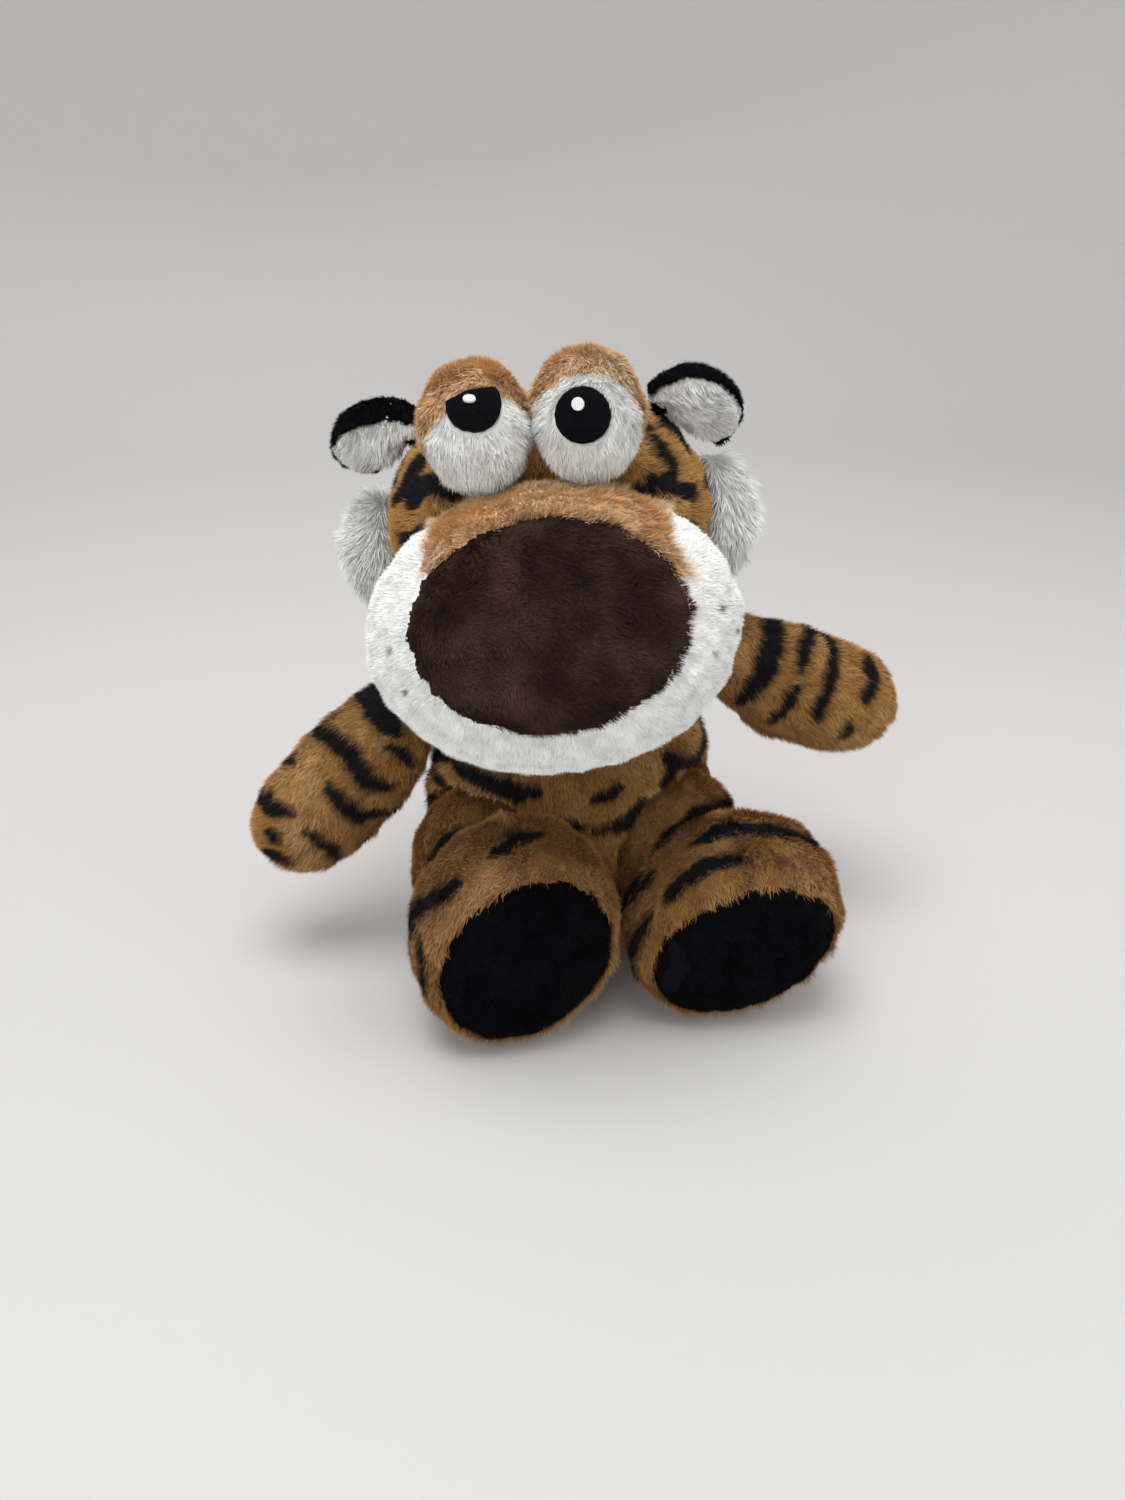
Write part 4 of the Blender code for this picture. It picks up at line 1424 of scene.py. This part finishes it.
@dataclass
class Muzzle(StuffedForm):
    """The broad muzzle: two white cheeks, the tan bridge and the brown nose."""

    name: str = "muzzle_cover"
    body: str = "head"
    inset: float = 0.0012
    panels: dict[str, Cloth] = field(default_factory=lambda: {
        "muzzle_right_panel": Cloth.WHITE,
        "muzzle_left_panel": Cloth.WHITE,
        "muzzle_bridge_panel": Cloth.TAN,
        "nose_panel": Cloth.BROWN,
    })
    fillings: tuple[str, ...] = ("muzzle_stuffing",)
    piles: dict[Cloth, Pile] = field(default_factory=lambda: {
        Cloth.WHITE: SLEEK, Cloth.TAN: SHORT, Cloth.BROWN: SLEEK
    })
    combs: dict[Cloth, Comb] = field(default_factory=lambda: {
        Cloth.WHITE: Comb(toward=(0, 0.6, -0.5), away=1.0),
        Cloth.TAN: Comb(toward=(0.15, -0.4, -0.5), waver=0.5),
        Cloth.BROWN: Comb(toward=(0.9, 0, -0.35), waver=0.5),
    })
    seed: int = 30
    creases: tuple = (
        PhotoStripe(((556, 700), (559, 720), (561, 738)), 0.0009, 0.0016),
        PhotoStripe(((411, 592), (420, 594), (431, 594)), 0.0008, 0.0013),
        PhotoStripe(((553, 742), (553, 760), (554, 776)), 0.0008, 0.0010),
    )
    marks: tuple = (
        PhotoStripe(((391, 650), (394, 656)), 0.0016),
        PhotoStripe(((404, 691), (408, 696)), 0.0014),
        PhotoStripe(((721, 608), (724, 614)), 0.0016),
        PhotoStripe(((734, 627), (737, 632)), 0.0014),
        PhotoStripe(((712, 652), (716, 658)), 0.0014),
    )
    bridge_edges: tuple[tuple[Pixel, Pixel, float], ...] = (
        ((430, 536), (411, 590), -1.0),
        ((664, 516), (690, 576), 1.0),
    )

    def seen_on_panels(self, pixel: Pixel) -> Vector:
        """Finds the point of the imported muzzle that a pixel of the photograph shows.

        Args:
            pixel: The pixel.

        Returns:
            The hit that is nearest to the camera.
        """
        eye, way = VIEW.ray(pixel)
        hits = [tree_of(frame["nodes"][node].data).ray_cast(eye, way)[0] for node in self.panels]
        return min((hit for hit in hits if hit is not None), key=lambda hit: (hit - eye).length)

    def seam_distance(self, points: np.ndarray) -> tuple[np.ndarray, np.ndarray]:
        """Finds the panel at each point, with the edges of the bridge where the photograph has them.

        Args:
            points: Places on the cover.

        Returns:
            The number of the panel, and the distance to the next one.
        """
        label, seam = super().seam_distance(points)
        cloths = list(self.panels)
        skin = label != cloths.index("nose_panel")
        inside = np.ones(len(points), bool)
        for upper, lower, side in self.bridge_edges:
            top, foot = self.seen_on_panels(upper), self.seen_on_panels(lower)
            outward = (foot - top).cross(Vector((0, 1, 0))).normalized()
            outward *= math.copysign(1, outward.x * side)
            beyond = (points - np.array(top)) @ np.array(outward)
            high = points[:, 2] > foot.z
            inside &= (beyond < 0) & high
            seam = np.where(skin & high, np.minimum(seam, np.abs(beyond)), seam)
        first, second = (np.array(self.seen_on_panels(upper)) for upper, _, _ in self.bridge_edges)
        middle = (first + second) / 2
        right, left, tan = (cloths.index(f"muzzle_{part}_panel") for part in ("right", "left", "bridge"))
        white = np.where(points[:, 0] < middle[0], right, left)
        label = np.where(skin & inside, tan, np.where(skin & (label == tan), white, label))
        return label, seam


@dataclass(frozen=True)
class Stitching:
    """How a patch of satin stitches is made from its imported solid."""

    patch: str
    cloth: Cloth
    depth: float
    voxel: float
    ease: int
    layer: float = 0.0004
    flat: float = 0.0
    squeeze: float = 1.0
    slide: float = 0.0


PUPIL = Stitching("pupil", Cloth.BLACK_THREAD, depth=0.0030, voxel=0.00042, ease=8)
GLINTS = {
    "right": Stitching(
        "glint", Cloth.WHITE_THREAD, depth=0.0008, voxel=0.00018, ease=4,
        flat=0.55, squeeze=0.62, slide=0.0013,
    ),
    "left": Stitching("glint", Cloth.WHITE_THREAD, depth=0.0008, voxel=0.00018, ease=4, flat=0.55),
}


@dataclass
class Eye(StuffedForm):
    """A stuffed eye with its furry lid, pupil and glint."""

    side: str = "right"
    body: str = "head"
    voxel: float = 0.0016
    inset: float = 0.0013
    insets: dict[Cloth, float] = field(default_factory=lambda: {Cloth.TAN: 0.0006})
    smoothing: int = 8
    seam_depth: float = 0.0004
    seam_width: float = 0.0015
    pupil_reach: float = 0.0011
    pupil_sink: float = 0.0009
    piles: dict[Cloth, Pile] = field(default_factory=lambda: {Cloth.WHITE: FLUFF, Cloth.TAN: SHAGGY})
    combs: dict[Cloth, Comb] = field(default_factory=lambda: {
        Cloth.WHITE: Comb(toward=(0, -0.1, -1), away=0.3),
        Cloth.TAN: Comb(toward=(0, -0.8, -0.6), waver=0.6),
    })

    def __post_init__(self) -> None:
        """Names the eye's panels from its side."""
        self.name = f"{self.side}_eye_cover"
        self.panels = {f"{self.side}_eye_panel": Cloth.WHITE, f"{self.side}_eyelid": Cloth.TAN}
        self.fillings = (f"{self.side}_eye_stuffing",)
        self.seed = 40 if self.side == "right" else 45

    def embroider(self, work: "Stitching") -> bpy.types.Object:
        """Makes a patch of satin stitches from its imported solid, thick enough to reach the eye's cover.

        Args:
            work: Which patch it is, and how it is made.

        Returns:
            The new piece.
        """
        node = f"{self.side}_{work.patch}"
        source = frame["nodes"][node].data
        points = points_of(source)
        middle = points.mean(axis=0)
        inward = unit((self.middle_point() - middle)[None, :])[0]
        up = np.array([0, 0, 1.0]) - inward * inward[2]
        up /= np.linalg.norm(up)
        proud = np.maximum((middle - points) @ inward, 0)[:, None]
        high = ((points - middle) @ up)[:, None]
        points = points + inward * (work.flat * proud) - up * ((1 - work.squeeze) * high + work.slide)
        joined = bmesh.new()
        for sink in np.arange(0, work.depth, work.layer):
            copy = source.copy()
            move_points(copy, points + inward * sink)
            joined.from_mesh(copy)
            bpy.data.meshes.remove(copy)
        mesh = bpy.data.meshes.new(node)
        joined.to_mesh(mesh)
        joined.free()
        mesh.materials.clear()
        piece = link(f"{node}_stitches", mesh)
        remesh = piece.modifiers.new("sew", "REMESH")
        remesh.mode = "VOXEL"
        remesh.voxel_size = work.voxel
        smooth = piece.modifiers.new("ease", "SMOOTH")
        smooth.factor = 0.5
        smooth.iterations = work.ease
        settle(piece)
        piece.data.materials.clear()
        piece.data.materials.append(FINISHES[work.cloth].material())
        for face in piece.data.polygons:
            face.use_smooth = True
        self.hand_over(piece, work.cloth)
        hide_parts(node)
        return piece

    def stitch(self) -> None:
        """Embroiders the pupil and its glint, and keeps the pile off them."""
        pupil = self.embroider(PUPIL)
        self.embroider(GLINTS[self.side])
        mesh = self.cover.data
        points = points_of(mesh)
        tree = tree_of(pupil.data)
        outward = unit(points - self.middle_point())
        starts = points - outward * PUPIL.depth
        hits = (tree.ray_cast(start, way, 2 * PUPIL.depth)[0] for start, way in zip(starts, outward))
        under = np.array([hit is not None for hit in hits])
        beside = distances(points, tree, self.pupil_reach) < self.pupil_reach
        white = self.label == list(self.panels.values()).index(Cloth.WHITE)
        self.room = np.where((under | beside) & white, 0, self.room)
        move_points(mesh, points - outward * (self.pupil_sink * under)[:, None])


@dataclass
class Ear(StuffedForm):
    """An ear's black back, with its furry white lining as a form of its own."""

    side: str = "right"
    part: str = "ear_back"
    voxel: float = 0.0011
    inset: float = 0.0004
    smoothing: int = 5
    seam_depth: float = 0.0
    fill: float = 0.3
    levels: int = 1
    roll_reach: float = 0.0052
    roll_front: float = 0.0010

    def __post_init__(self) -> None:
        """Names the ear's piece from its side."""
        cloth = Cloth.BLACK if self.part == "ear_back" else Cloth.WHITE
        self.name = f"{self.side}_{self.part}_cloth"
        self.body = f"{self.side}_ear"
        self.panels = {f"{self.side}_{self.part}": cloth}
        self.seed = (50 if self.side == "right" else 55) + len(self.part)
        self.full = self.part == "ear_lining"
        self.axis = (f"{self.side}_ear_root", None)
        self.piles = {cloth: LINING if self.full else STUBBLE}
        outward = SIDES[self.side]
        self.combs = {cloth: Comb(toward=(0.55 * outward, -0.35, -0.9), waver=0.6)}

    def prepare(self) -> None:
        """Makes the ear's cloth and tucks the front end of its rolled root in behind the lining."""
        super().prepare()
        if self.full:
            return
        root = np.array(self.joint_place())
        points = points_of(self.cover.data)
        near = np.linalg.norm((points - root)[:, [0, 2]], axis=1) < self.roll_reach
        front = root[1] - self.roll_front
        points[:, 1] = np.where(near, np.maximum(points[:, 1], front), points[:, 1])
        move_points(self.cover.data, points)
        self.start = points

    def press(self, neighbours: list[StuffedForm]) -> None:
        """Pushes the cover out of its neighbours and keeps the lining's pile on its own side of the back.

        Args:
            neighbours: The finished forms that this one meets.
        """
        super().press(neighbours)
        if self.full:
            back = f"{self.side}_ear_back_cloth"
            self.barrier = next(other.tree for other in neighbours if other.name == back)


@dataclass
class CheekRuff(StuffedForm):
    """A tuft of long white fur behind the muzzle."""

    side: str = "right"
    body: str = "head"
    voxel: float = 0.0018
    inset: float = 0.0018
    fill: float = 0.5

    def __post_init__(self) -> None:
        """Names the ruff from its side."""
        self.name = f"{self.side}_ruff_cover"
        self.panels = {f"{self.side}_cheek_ruff": Cloth.LONG_WHITE}
        self.seed = 60 if self.side == "right" else 65
        self.piles = {Cloth.LONG_WHITE: LONG}
        outward = SIDES[self.side]
        self.combs = {Cloth.LONG_WHITE: Comb(toward=(0.25 * outward, 0.25, -0.9), away=0.3)}


@dataclass
class Arm(StuffedForm):
    """An arm, flat as a mitten, with a tufted seam along its lower side."""

    side: str = "right"
    seam_depth: float = 0.0011

    def __post_init__(self) -> None:
        """Names the arm's panels from its side and lays its pile towards the paw."""
        self.name = f"{self.side}_arm_cover"
        self.body = f"{self.side}_arm"
        self.panels = {f"{self.side}_arm_{part}_panel": Cloth.TIGER for part in ("upper", "lower")}
        self.fillings = (f"{self.side}_arm_stuffing",)
        self.seed = 70 if self.side == "right" else 75
        self.axis = (f"{self.side}_shoulder", None)
        self.piles = {Cloth.TIGER: SHORT}
        outward = SIDES[self.side]
        self.combs = {Cloth.TIGER: Comb(toward=(outward * 0.8, -0.1, -0.6))}


RIGHT_ARM_STRIPES = (
    PhotoStripe(((338, 678), (365, 690), (385, 716), (402, 738)), 0.0080),
    PhotoStripe(((318, 700), (333, 711)), 0.0036),
    PhotoStripe(((303, 724), (330, 737), (350, 752), (366, 780), (395, 787)), 0.0062),
    PhotoStripe(((279, 750), (287, 759), (299, 763)), 0.0040),
    PhotoStripe(((326, 782), (339, 803), (360, 816), (386, 811)), 0.0054),
    PhotoStripe(((256, 788), (270, 806), (298, 815)), 0.0050),
    PhotoStripe(((386, 746), (400, 752), (415, 765)), 0.0040),
    PhotoStripe(((303, 830), (325, 845), (342, 862)), 0.0042),
    PhotoStripe(((248, 834), (266, 850), (296, 862)), 0.0046),
    RoundStripe((0.30, 0.34), (110, 250), 0.0060),
    RoundStripe((0.48, 0.50), (120, 190), 0.0050),
    RoundStripe((0.52, 0.50), (290, 215), 0.0050),
    RoundStripe((0.66, 0.68), (115, 185), 0.0055),
    RoundStripe((0.70, 0.68), (285, 210), 0.0050),
    RoundStripe((0.84, 0.86), (120, 240), 0.0050),
)
LEFT_ARM_STRIPES = (
    PhotoStripe(((770, 598), (773, 640), (765, 672), (735, 706)), 0.0074),
    PhotoStripe(((795, 608), (810, 630), (803, 652), (800, 677)), 0.0050),
    PhotoStripe(((836, 643), (830, 672), (825, 695), (812, 722)), 0.0048),
    PhotoStripe(((864, 656), (873, 680), (862, 707)), 0.0046),
    PhotoStripe(((876, 654), (892, 676), (893, 692)), 0.0032),
    PhotoStripe(((800, 684), (784, 706), (766, 724)), 0.0044),
    PhotoStripe(((851, 718), (838, 740)), 0.0034),
    RoundStripe((0.34, 0.36), (110, 250), 0.0060),
    RoundStripe((0.52, 0.54), (120, 190), 0.0050),
    RoundStripe((0.56, 0.54), (290, 215), 0.0050),
    RoundStripe((0.72, 0.74), (115, 240), 0.0055),
    RoundStripe((0.88, 0.90), (120, 240), 0.0050),
)
LEG_SIDE_STRIPES = (
    *both_sides((0.34, 0.38), (62, 128), 0.0054),
    *both_sides((0.56, 0.60), (70, 150), 0.0056),
    *both_sides((0.76, 0.78), (74, 118), 0.0048),
)
RIGHT_LEG_STRIPES = (
    PhotoStripe(((426, 866), (448, 840), (472, 827)), 0.0058),
    PhotoStripe(((490, 859), (515, 842), (547, 832)), 0.0050),
    PhotoStripe(((405, 945), (412, 918), (428, 902), (448, 893), (466, 880)), 0.0060),
    *LEG_SIDE_STRIPES,
)
LEFT_LEG_STRIPES = (
    PhotoStripe(((648, 858), (672, 833), (700, 815), (740, 806), (790, 819), (822, 840)), 0.0060),
    PhotoStripe(((688, 847), (720, 831), (770, 829), (810, 842), (832, 860)), 0.0054),
    PhotoStripe(((663, 908), (682, 881), (710, 865), (752, 859)), 0.0054),
    PhotoStripe(((635, 902), (644, 886), (656, 873)), 0.0044),
    *LEG_SIDE_STRIPES,
)


@dataclass
class Leg(StuffedForm):
    """A leg, which ends in a flat black sole."""

    side: str = "right"

    def __post_init__(self) -> None:
        """Names the leg's panels from its side."""
        self.name = f"{self.side}_leg_cover"
        self.body = f"{self.side}_leg"
        self.panels = {f"{self.side}_leg_{part}_panel": Cloth.TIGER for part in ("outer", "inner")}
        self.panels[f"{self.side}_sole_pad"] = Cloth.BLACK
        self.fillings = (f"{self.side}_leg_stuffing",)
        self.seed = 80 if self.side == "right" else 85
        self.axis = (f"{self.side}_hip", None)
        self.piles = {Cloth.TIGER: SHORT, Cloth.BLACK: STUBBLE}
        self.combs = {
            Cloth.TIGER: Comb(toward=(0, -0.9, -0.3)),
            Cloth.BLACK: Comb(toward=(0, 0, -1), waver=0.5),
        }


@dataclass
class Tail(StuffedForm):
    """The tail, a striped sleeve with a black tip."""

    name: str = "tail_cover"
    body: str = "tail"
    panels: dict[str, Cloth] = field(default_factory=lambda: {
        "tail_sleeve": Cloth.TIGER, "tail_tip": Cloth.BLACK
    })
    fillings: tuple[str, ...] = ("tail_stuffing",)
    voxel: float = 0.0018
    piles: dict[Cloth, Pile] = field(default_factory=lambda: {Cloth.TIGER: SHORT, Cloth.BLACK: SHORT})
    combs: dict[Cloth, Comb] = field(default_factory=lambda: {
        cloth: Comb(toward=(0, 1, 0)) for cloth in (Cloth.TIGER, Cloth.BLACK)
    })
    axis: tuple = ("tail_root", None)
    seed: int = 90
    stripes: tuple = (
        RoundStripe((0.28, 0.28), (-150, 150), 0.0050),
        RoundStripe((0.48, 0.48), (-130, 170), 0.0050),
    )


@dataclass
class NeckWad(StuffedForm):
    """The neck, which the head nods on, with the striped plush that covers its packed stuffing."""

    name: str = "neck_wad_cover"
    body: str = "neck"
    panels: dict[str, Cloth] = field(default_factory=lambda: {"neck_wad": Cloth.TIGER})
    voxel: float = 0.0020
    inset: float = 0.0008
    piles: dict[Cloth, Pile] = field(default_factory=lambda: {Cloth.TIGER: SHORT})
    seed: int = 95


@dataclass(frozen=True)
class Lamp:
    """A soft square lamp that faces the toy and that the camera doesn't see."""

    name: str
    place: tuple[float, float, float]
    size: float
    watts: float
    aim: tuple[float, float, float] = (0, 0, 0.08)

    def hang(self) -> None:
        """Adds the lamp to the scene."""
        data = bpy.data.lights.new(self.name, "AREA")
        data.size = self.size
        data.energy = self.watts
        lamp = bpy.data.objects.new(self.name, data)
        lamp.visible_camera = False
        lamp.location = self.place
        way = Vector(self.aim) - Vector(self.place)
        lamp.rotation_euler = way.to_track_quat("-Z", "Y").to_euler()
        bpy.context.scene.collection.objects.link(lamp)


@dataclass(frozen=True)
class Studio:
    """A pale sweep of paper under broad soft lamps."""

    wall_from: float = 0.95
    bend: float = 0.7
    height: float = 1.4
    bend_steps: int = 24
    round_steps: int = 96
    # the paper's tone in front of the toy and behind it; the paler far tone is painted light on the backdrop
    near: Colour = (0.68, 0.675, 0.665)
    far: Colour = (0.72, 0.71, 0.70)
    glow: Colour = (0.97, 0.98, 1.0)
    glow_strength: float = 0.36
    horizon: Colour = (0.52, 0.51, 0.50)
    roughness: float = 0.9
    specular: float = 0.1
    fade_from: float = -0.16
    fade_to: float = 0.22
    lamps: tuple[Lamp, ...] = (
        Lamp("top_lamp", (-0.12, -0.30, 1.25), 0.75, 10.5),
        Lamp("front_lamp", (-0.35, -1.15, 0.70), 0.8, 4.2),
        Lamp("side_lamp", (0.90, -0.50, 0.70), 0.8, 2.0),
        Lamp("back_lamp", (-0.30, 1.10, 0.80), 0.8, 1.6),
    )

    def sweep(self) -> None:
        """Builds the floor and the backdrop as one sheet, round the toy on all sides."""
        line = [(0.0, 0.0), (self.wall_from / 2, 0.0), (self.wall_from, 0.0)]
        for step in range(1, self.bend_steps + 1):
            angle = math.pi / 2 * step / self.bend_steps
            line.append((self.wall_from + self.bend * math.sin(angle), self.bend * (1 - math.cos(angle))))
        line.append((self.wall_from + self.bend, self.height))
        bm = bmesh.new()
        verts = [bm.verts.new((0, reach, rise)) for reach, rise in line]
        edges = [bm.edges.new(pair) for pair in zip(verts, verts[1:])]
        axis = {"cent": (0, 0, 0), "axis": (0, 0, 1), "angle": 2 * math.pi, "steps": self.round_steps}
        bmesh.ops.spin(bm, geom=verts + edges, use_merge=True, **axis)
        bmesh.ops.remove_doubles(bm, verts=bm.verts, dist=FLOOR_CLEAR)
        mesh = bpy.data.meshes.new("paper_sweep")
        bm.to_mesh(mesh)
        bm.free()
        mesh.shade_smooth()
        sweep = link("paper_sweep", mesh)
        mesh.materials.append(self.paper())

    def paper(self) -> bpy.types.Material:
        """The paper's finish, which fades from one tone near the camera to a paler one far away: painted
        light for how light falls across the floor and the backdrop.

        Returns:
            The new material.
        """
        material = bpy.data.materials.new("paper")
        material.use_nodes = True
        tree = material.node_tree
        shader = tree.nodes["Principled BSDF"]
        shader.inputs["Roughness"].default_value = self.roughness
        shader.inputs["Specular IOR Level"].default_value = self.specular
        place = tree.nodes.new("ShaderNodeTexCoord")
        split = tree.nodes.new("ShaderNodeSeparateXYZ")
        fade = tree.nodes.new("ShaderNodeMapRange")
        fade.interpolation_type = "SMOOTHSTEP"
        fade.inputs["From Min"].default_value = self.fade_from
        fade.inputs["From Max"].default_value = self.fade_to
        mixed = tree.nodes.new("ShaderNodeMix")
        mixed.data_type = "RGBA"
        mixed.inputs[6].default_value = (*self.near, 1)
        mixed.inputs[7].default_value = (*self.far, 1)
        tree.links.new(place.outputs["Object"], split.inputs[0])
        tree.links.new(split.outputs["Y"], fade.inputs["Value"])
        tree.links.new(fade.outputs["Result"], mixed.inputs[0])
        tree.links.new(mixed.outputs[2], shader.inputs["Base Color"])
        return material

    def light(self) -> None:
        """Hangs the lamps and sets the world's glow."""
        for lamp in self.lamps:
            lamp.hang()
        world = bpy.data.worlds.new("studio")
        world.use_nodes = True
        tree = world.node_tree
        glow = tree.nodes["Background"]
        glow.inputs["Color"].default_value = (*self.glow, 1)
        glow.inputs["Strength"].default_value = self.glow_strength
        seen = tree.nodes.new("ShaderNodeBackground")
        seen.inputs["Color"].default_value = (*self.horizon, 1)
        path = tree.nodes.new("ShaderNodeLightPath")
        choice = tree.nodes.new("ShaderNodeMixShader")
        tree.links.new(path.outputs["Is Camera Ray"], choice.inputs["Fac"])
        tree.links.new(glow.outputs["Background"], choice.inputs[1])
        tree.links.new(seen.outputs["Background"], choice.inputs[2])
        tree.links.new(choice.outputs["Shader"], tree.nodes["World Output"].inputs["Surface"])
        bpy.context.scene.world = world
        bpy.context.scene.view_settings.view_transform = "Standard"


def run_stuffing(forms: list[StuffedForm]) -> None:
    """Blows up all covers together, frame by frame.

    Args:
        forms: The forms with a cover to stuff.
    """
    for form in forms:
        form.blow_up()
    scene = bpy.context.scene
    scene.frame_start, scene.frame_end = 1, SIM_FRAMES
    for number in range(1, SIM_FRAMES + 1):
        scene.frame_set(number)
    for form in forms:
        form.take_swell()
    scene.frame_set(1)


def main() -> None:
    """Builds the studio and every piece of the toy, in the order in which they press on each other."""
    logging.basicConfig(level=logging.INFO, format="%(message)s")
    VIEW.place()
    studio = Studio()
    studio.sweep()
    studio.light()
    torso, head, muzzle, tail, wad = Torso(), Head(), Muzzle(), Tail(), NeckWad()
    legs = [Leg(side=s, stripes=t) for s, t in zip(SIDES, (RIGHT_LEG_STRIPES, LEFT_LEG_STRIPES))]
    arms = [Arm(side=s, stripes=t) for s, t in zip(SIDES, (RIGHT_ARM_STRIPES, LEFT_ARM_STRIPES))]
    eyes = [Eye(side=s) for s in SIDES]
    backs = [Ear(side=s, part="ear_back") for s in SIDES]
    linings = [Ear(side=s, part="ear_lining") for s in SIDES]
    ruffs = [CheekRuff(side=s) for s in SIDES]
    forms = [torso, *legs, *arms, tail, wad, head, muzzle, *eyes, *backs, *linings, *ruffs]
    for form in forms:
        form.prepare()
    run_stuffing([torso, *legs, *arms, head, muzzle, *eyes, tail])
    done: list[StuffedForm] = []
    for form in forms:
        form.refine()
        form.press(done)
        done.append(form)
    for eye in eyes:
        eye.stitch()
    for form in forms:
        form.draw()
        form.dress()


if __name__ == "__main__":
    main()
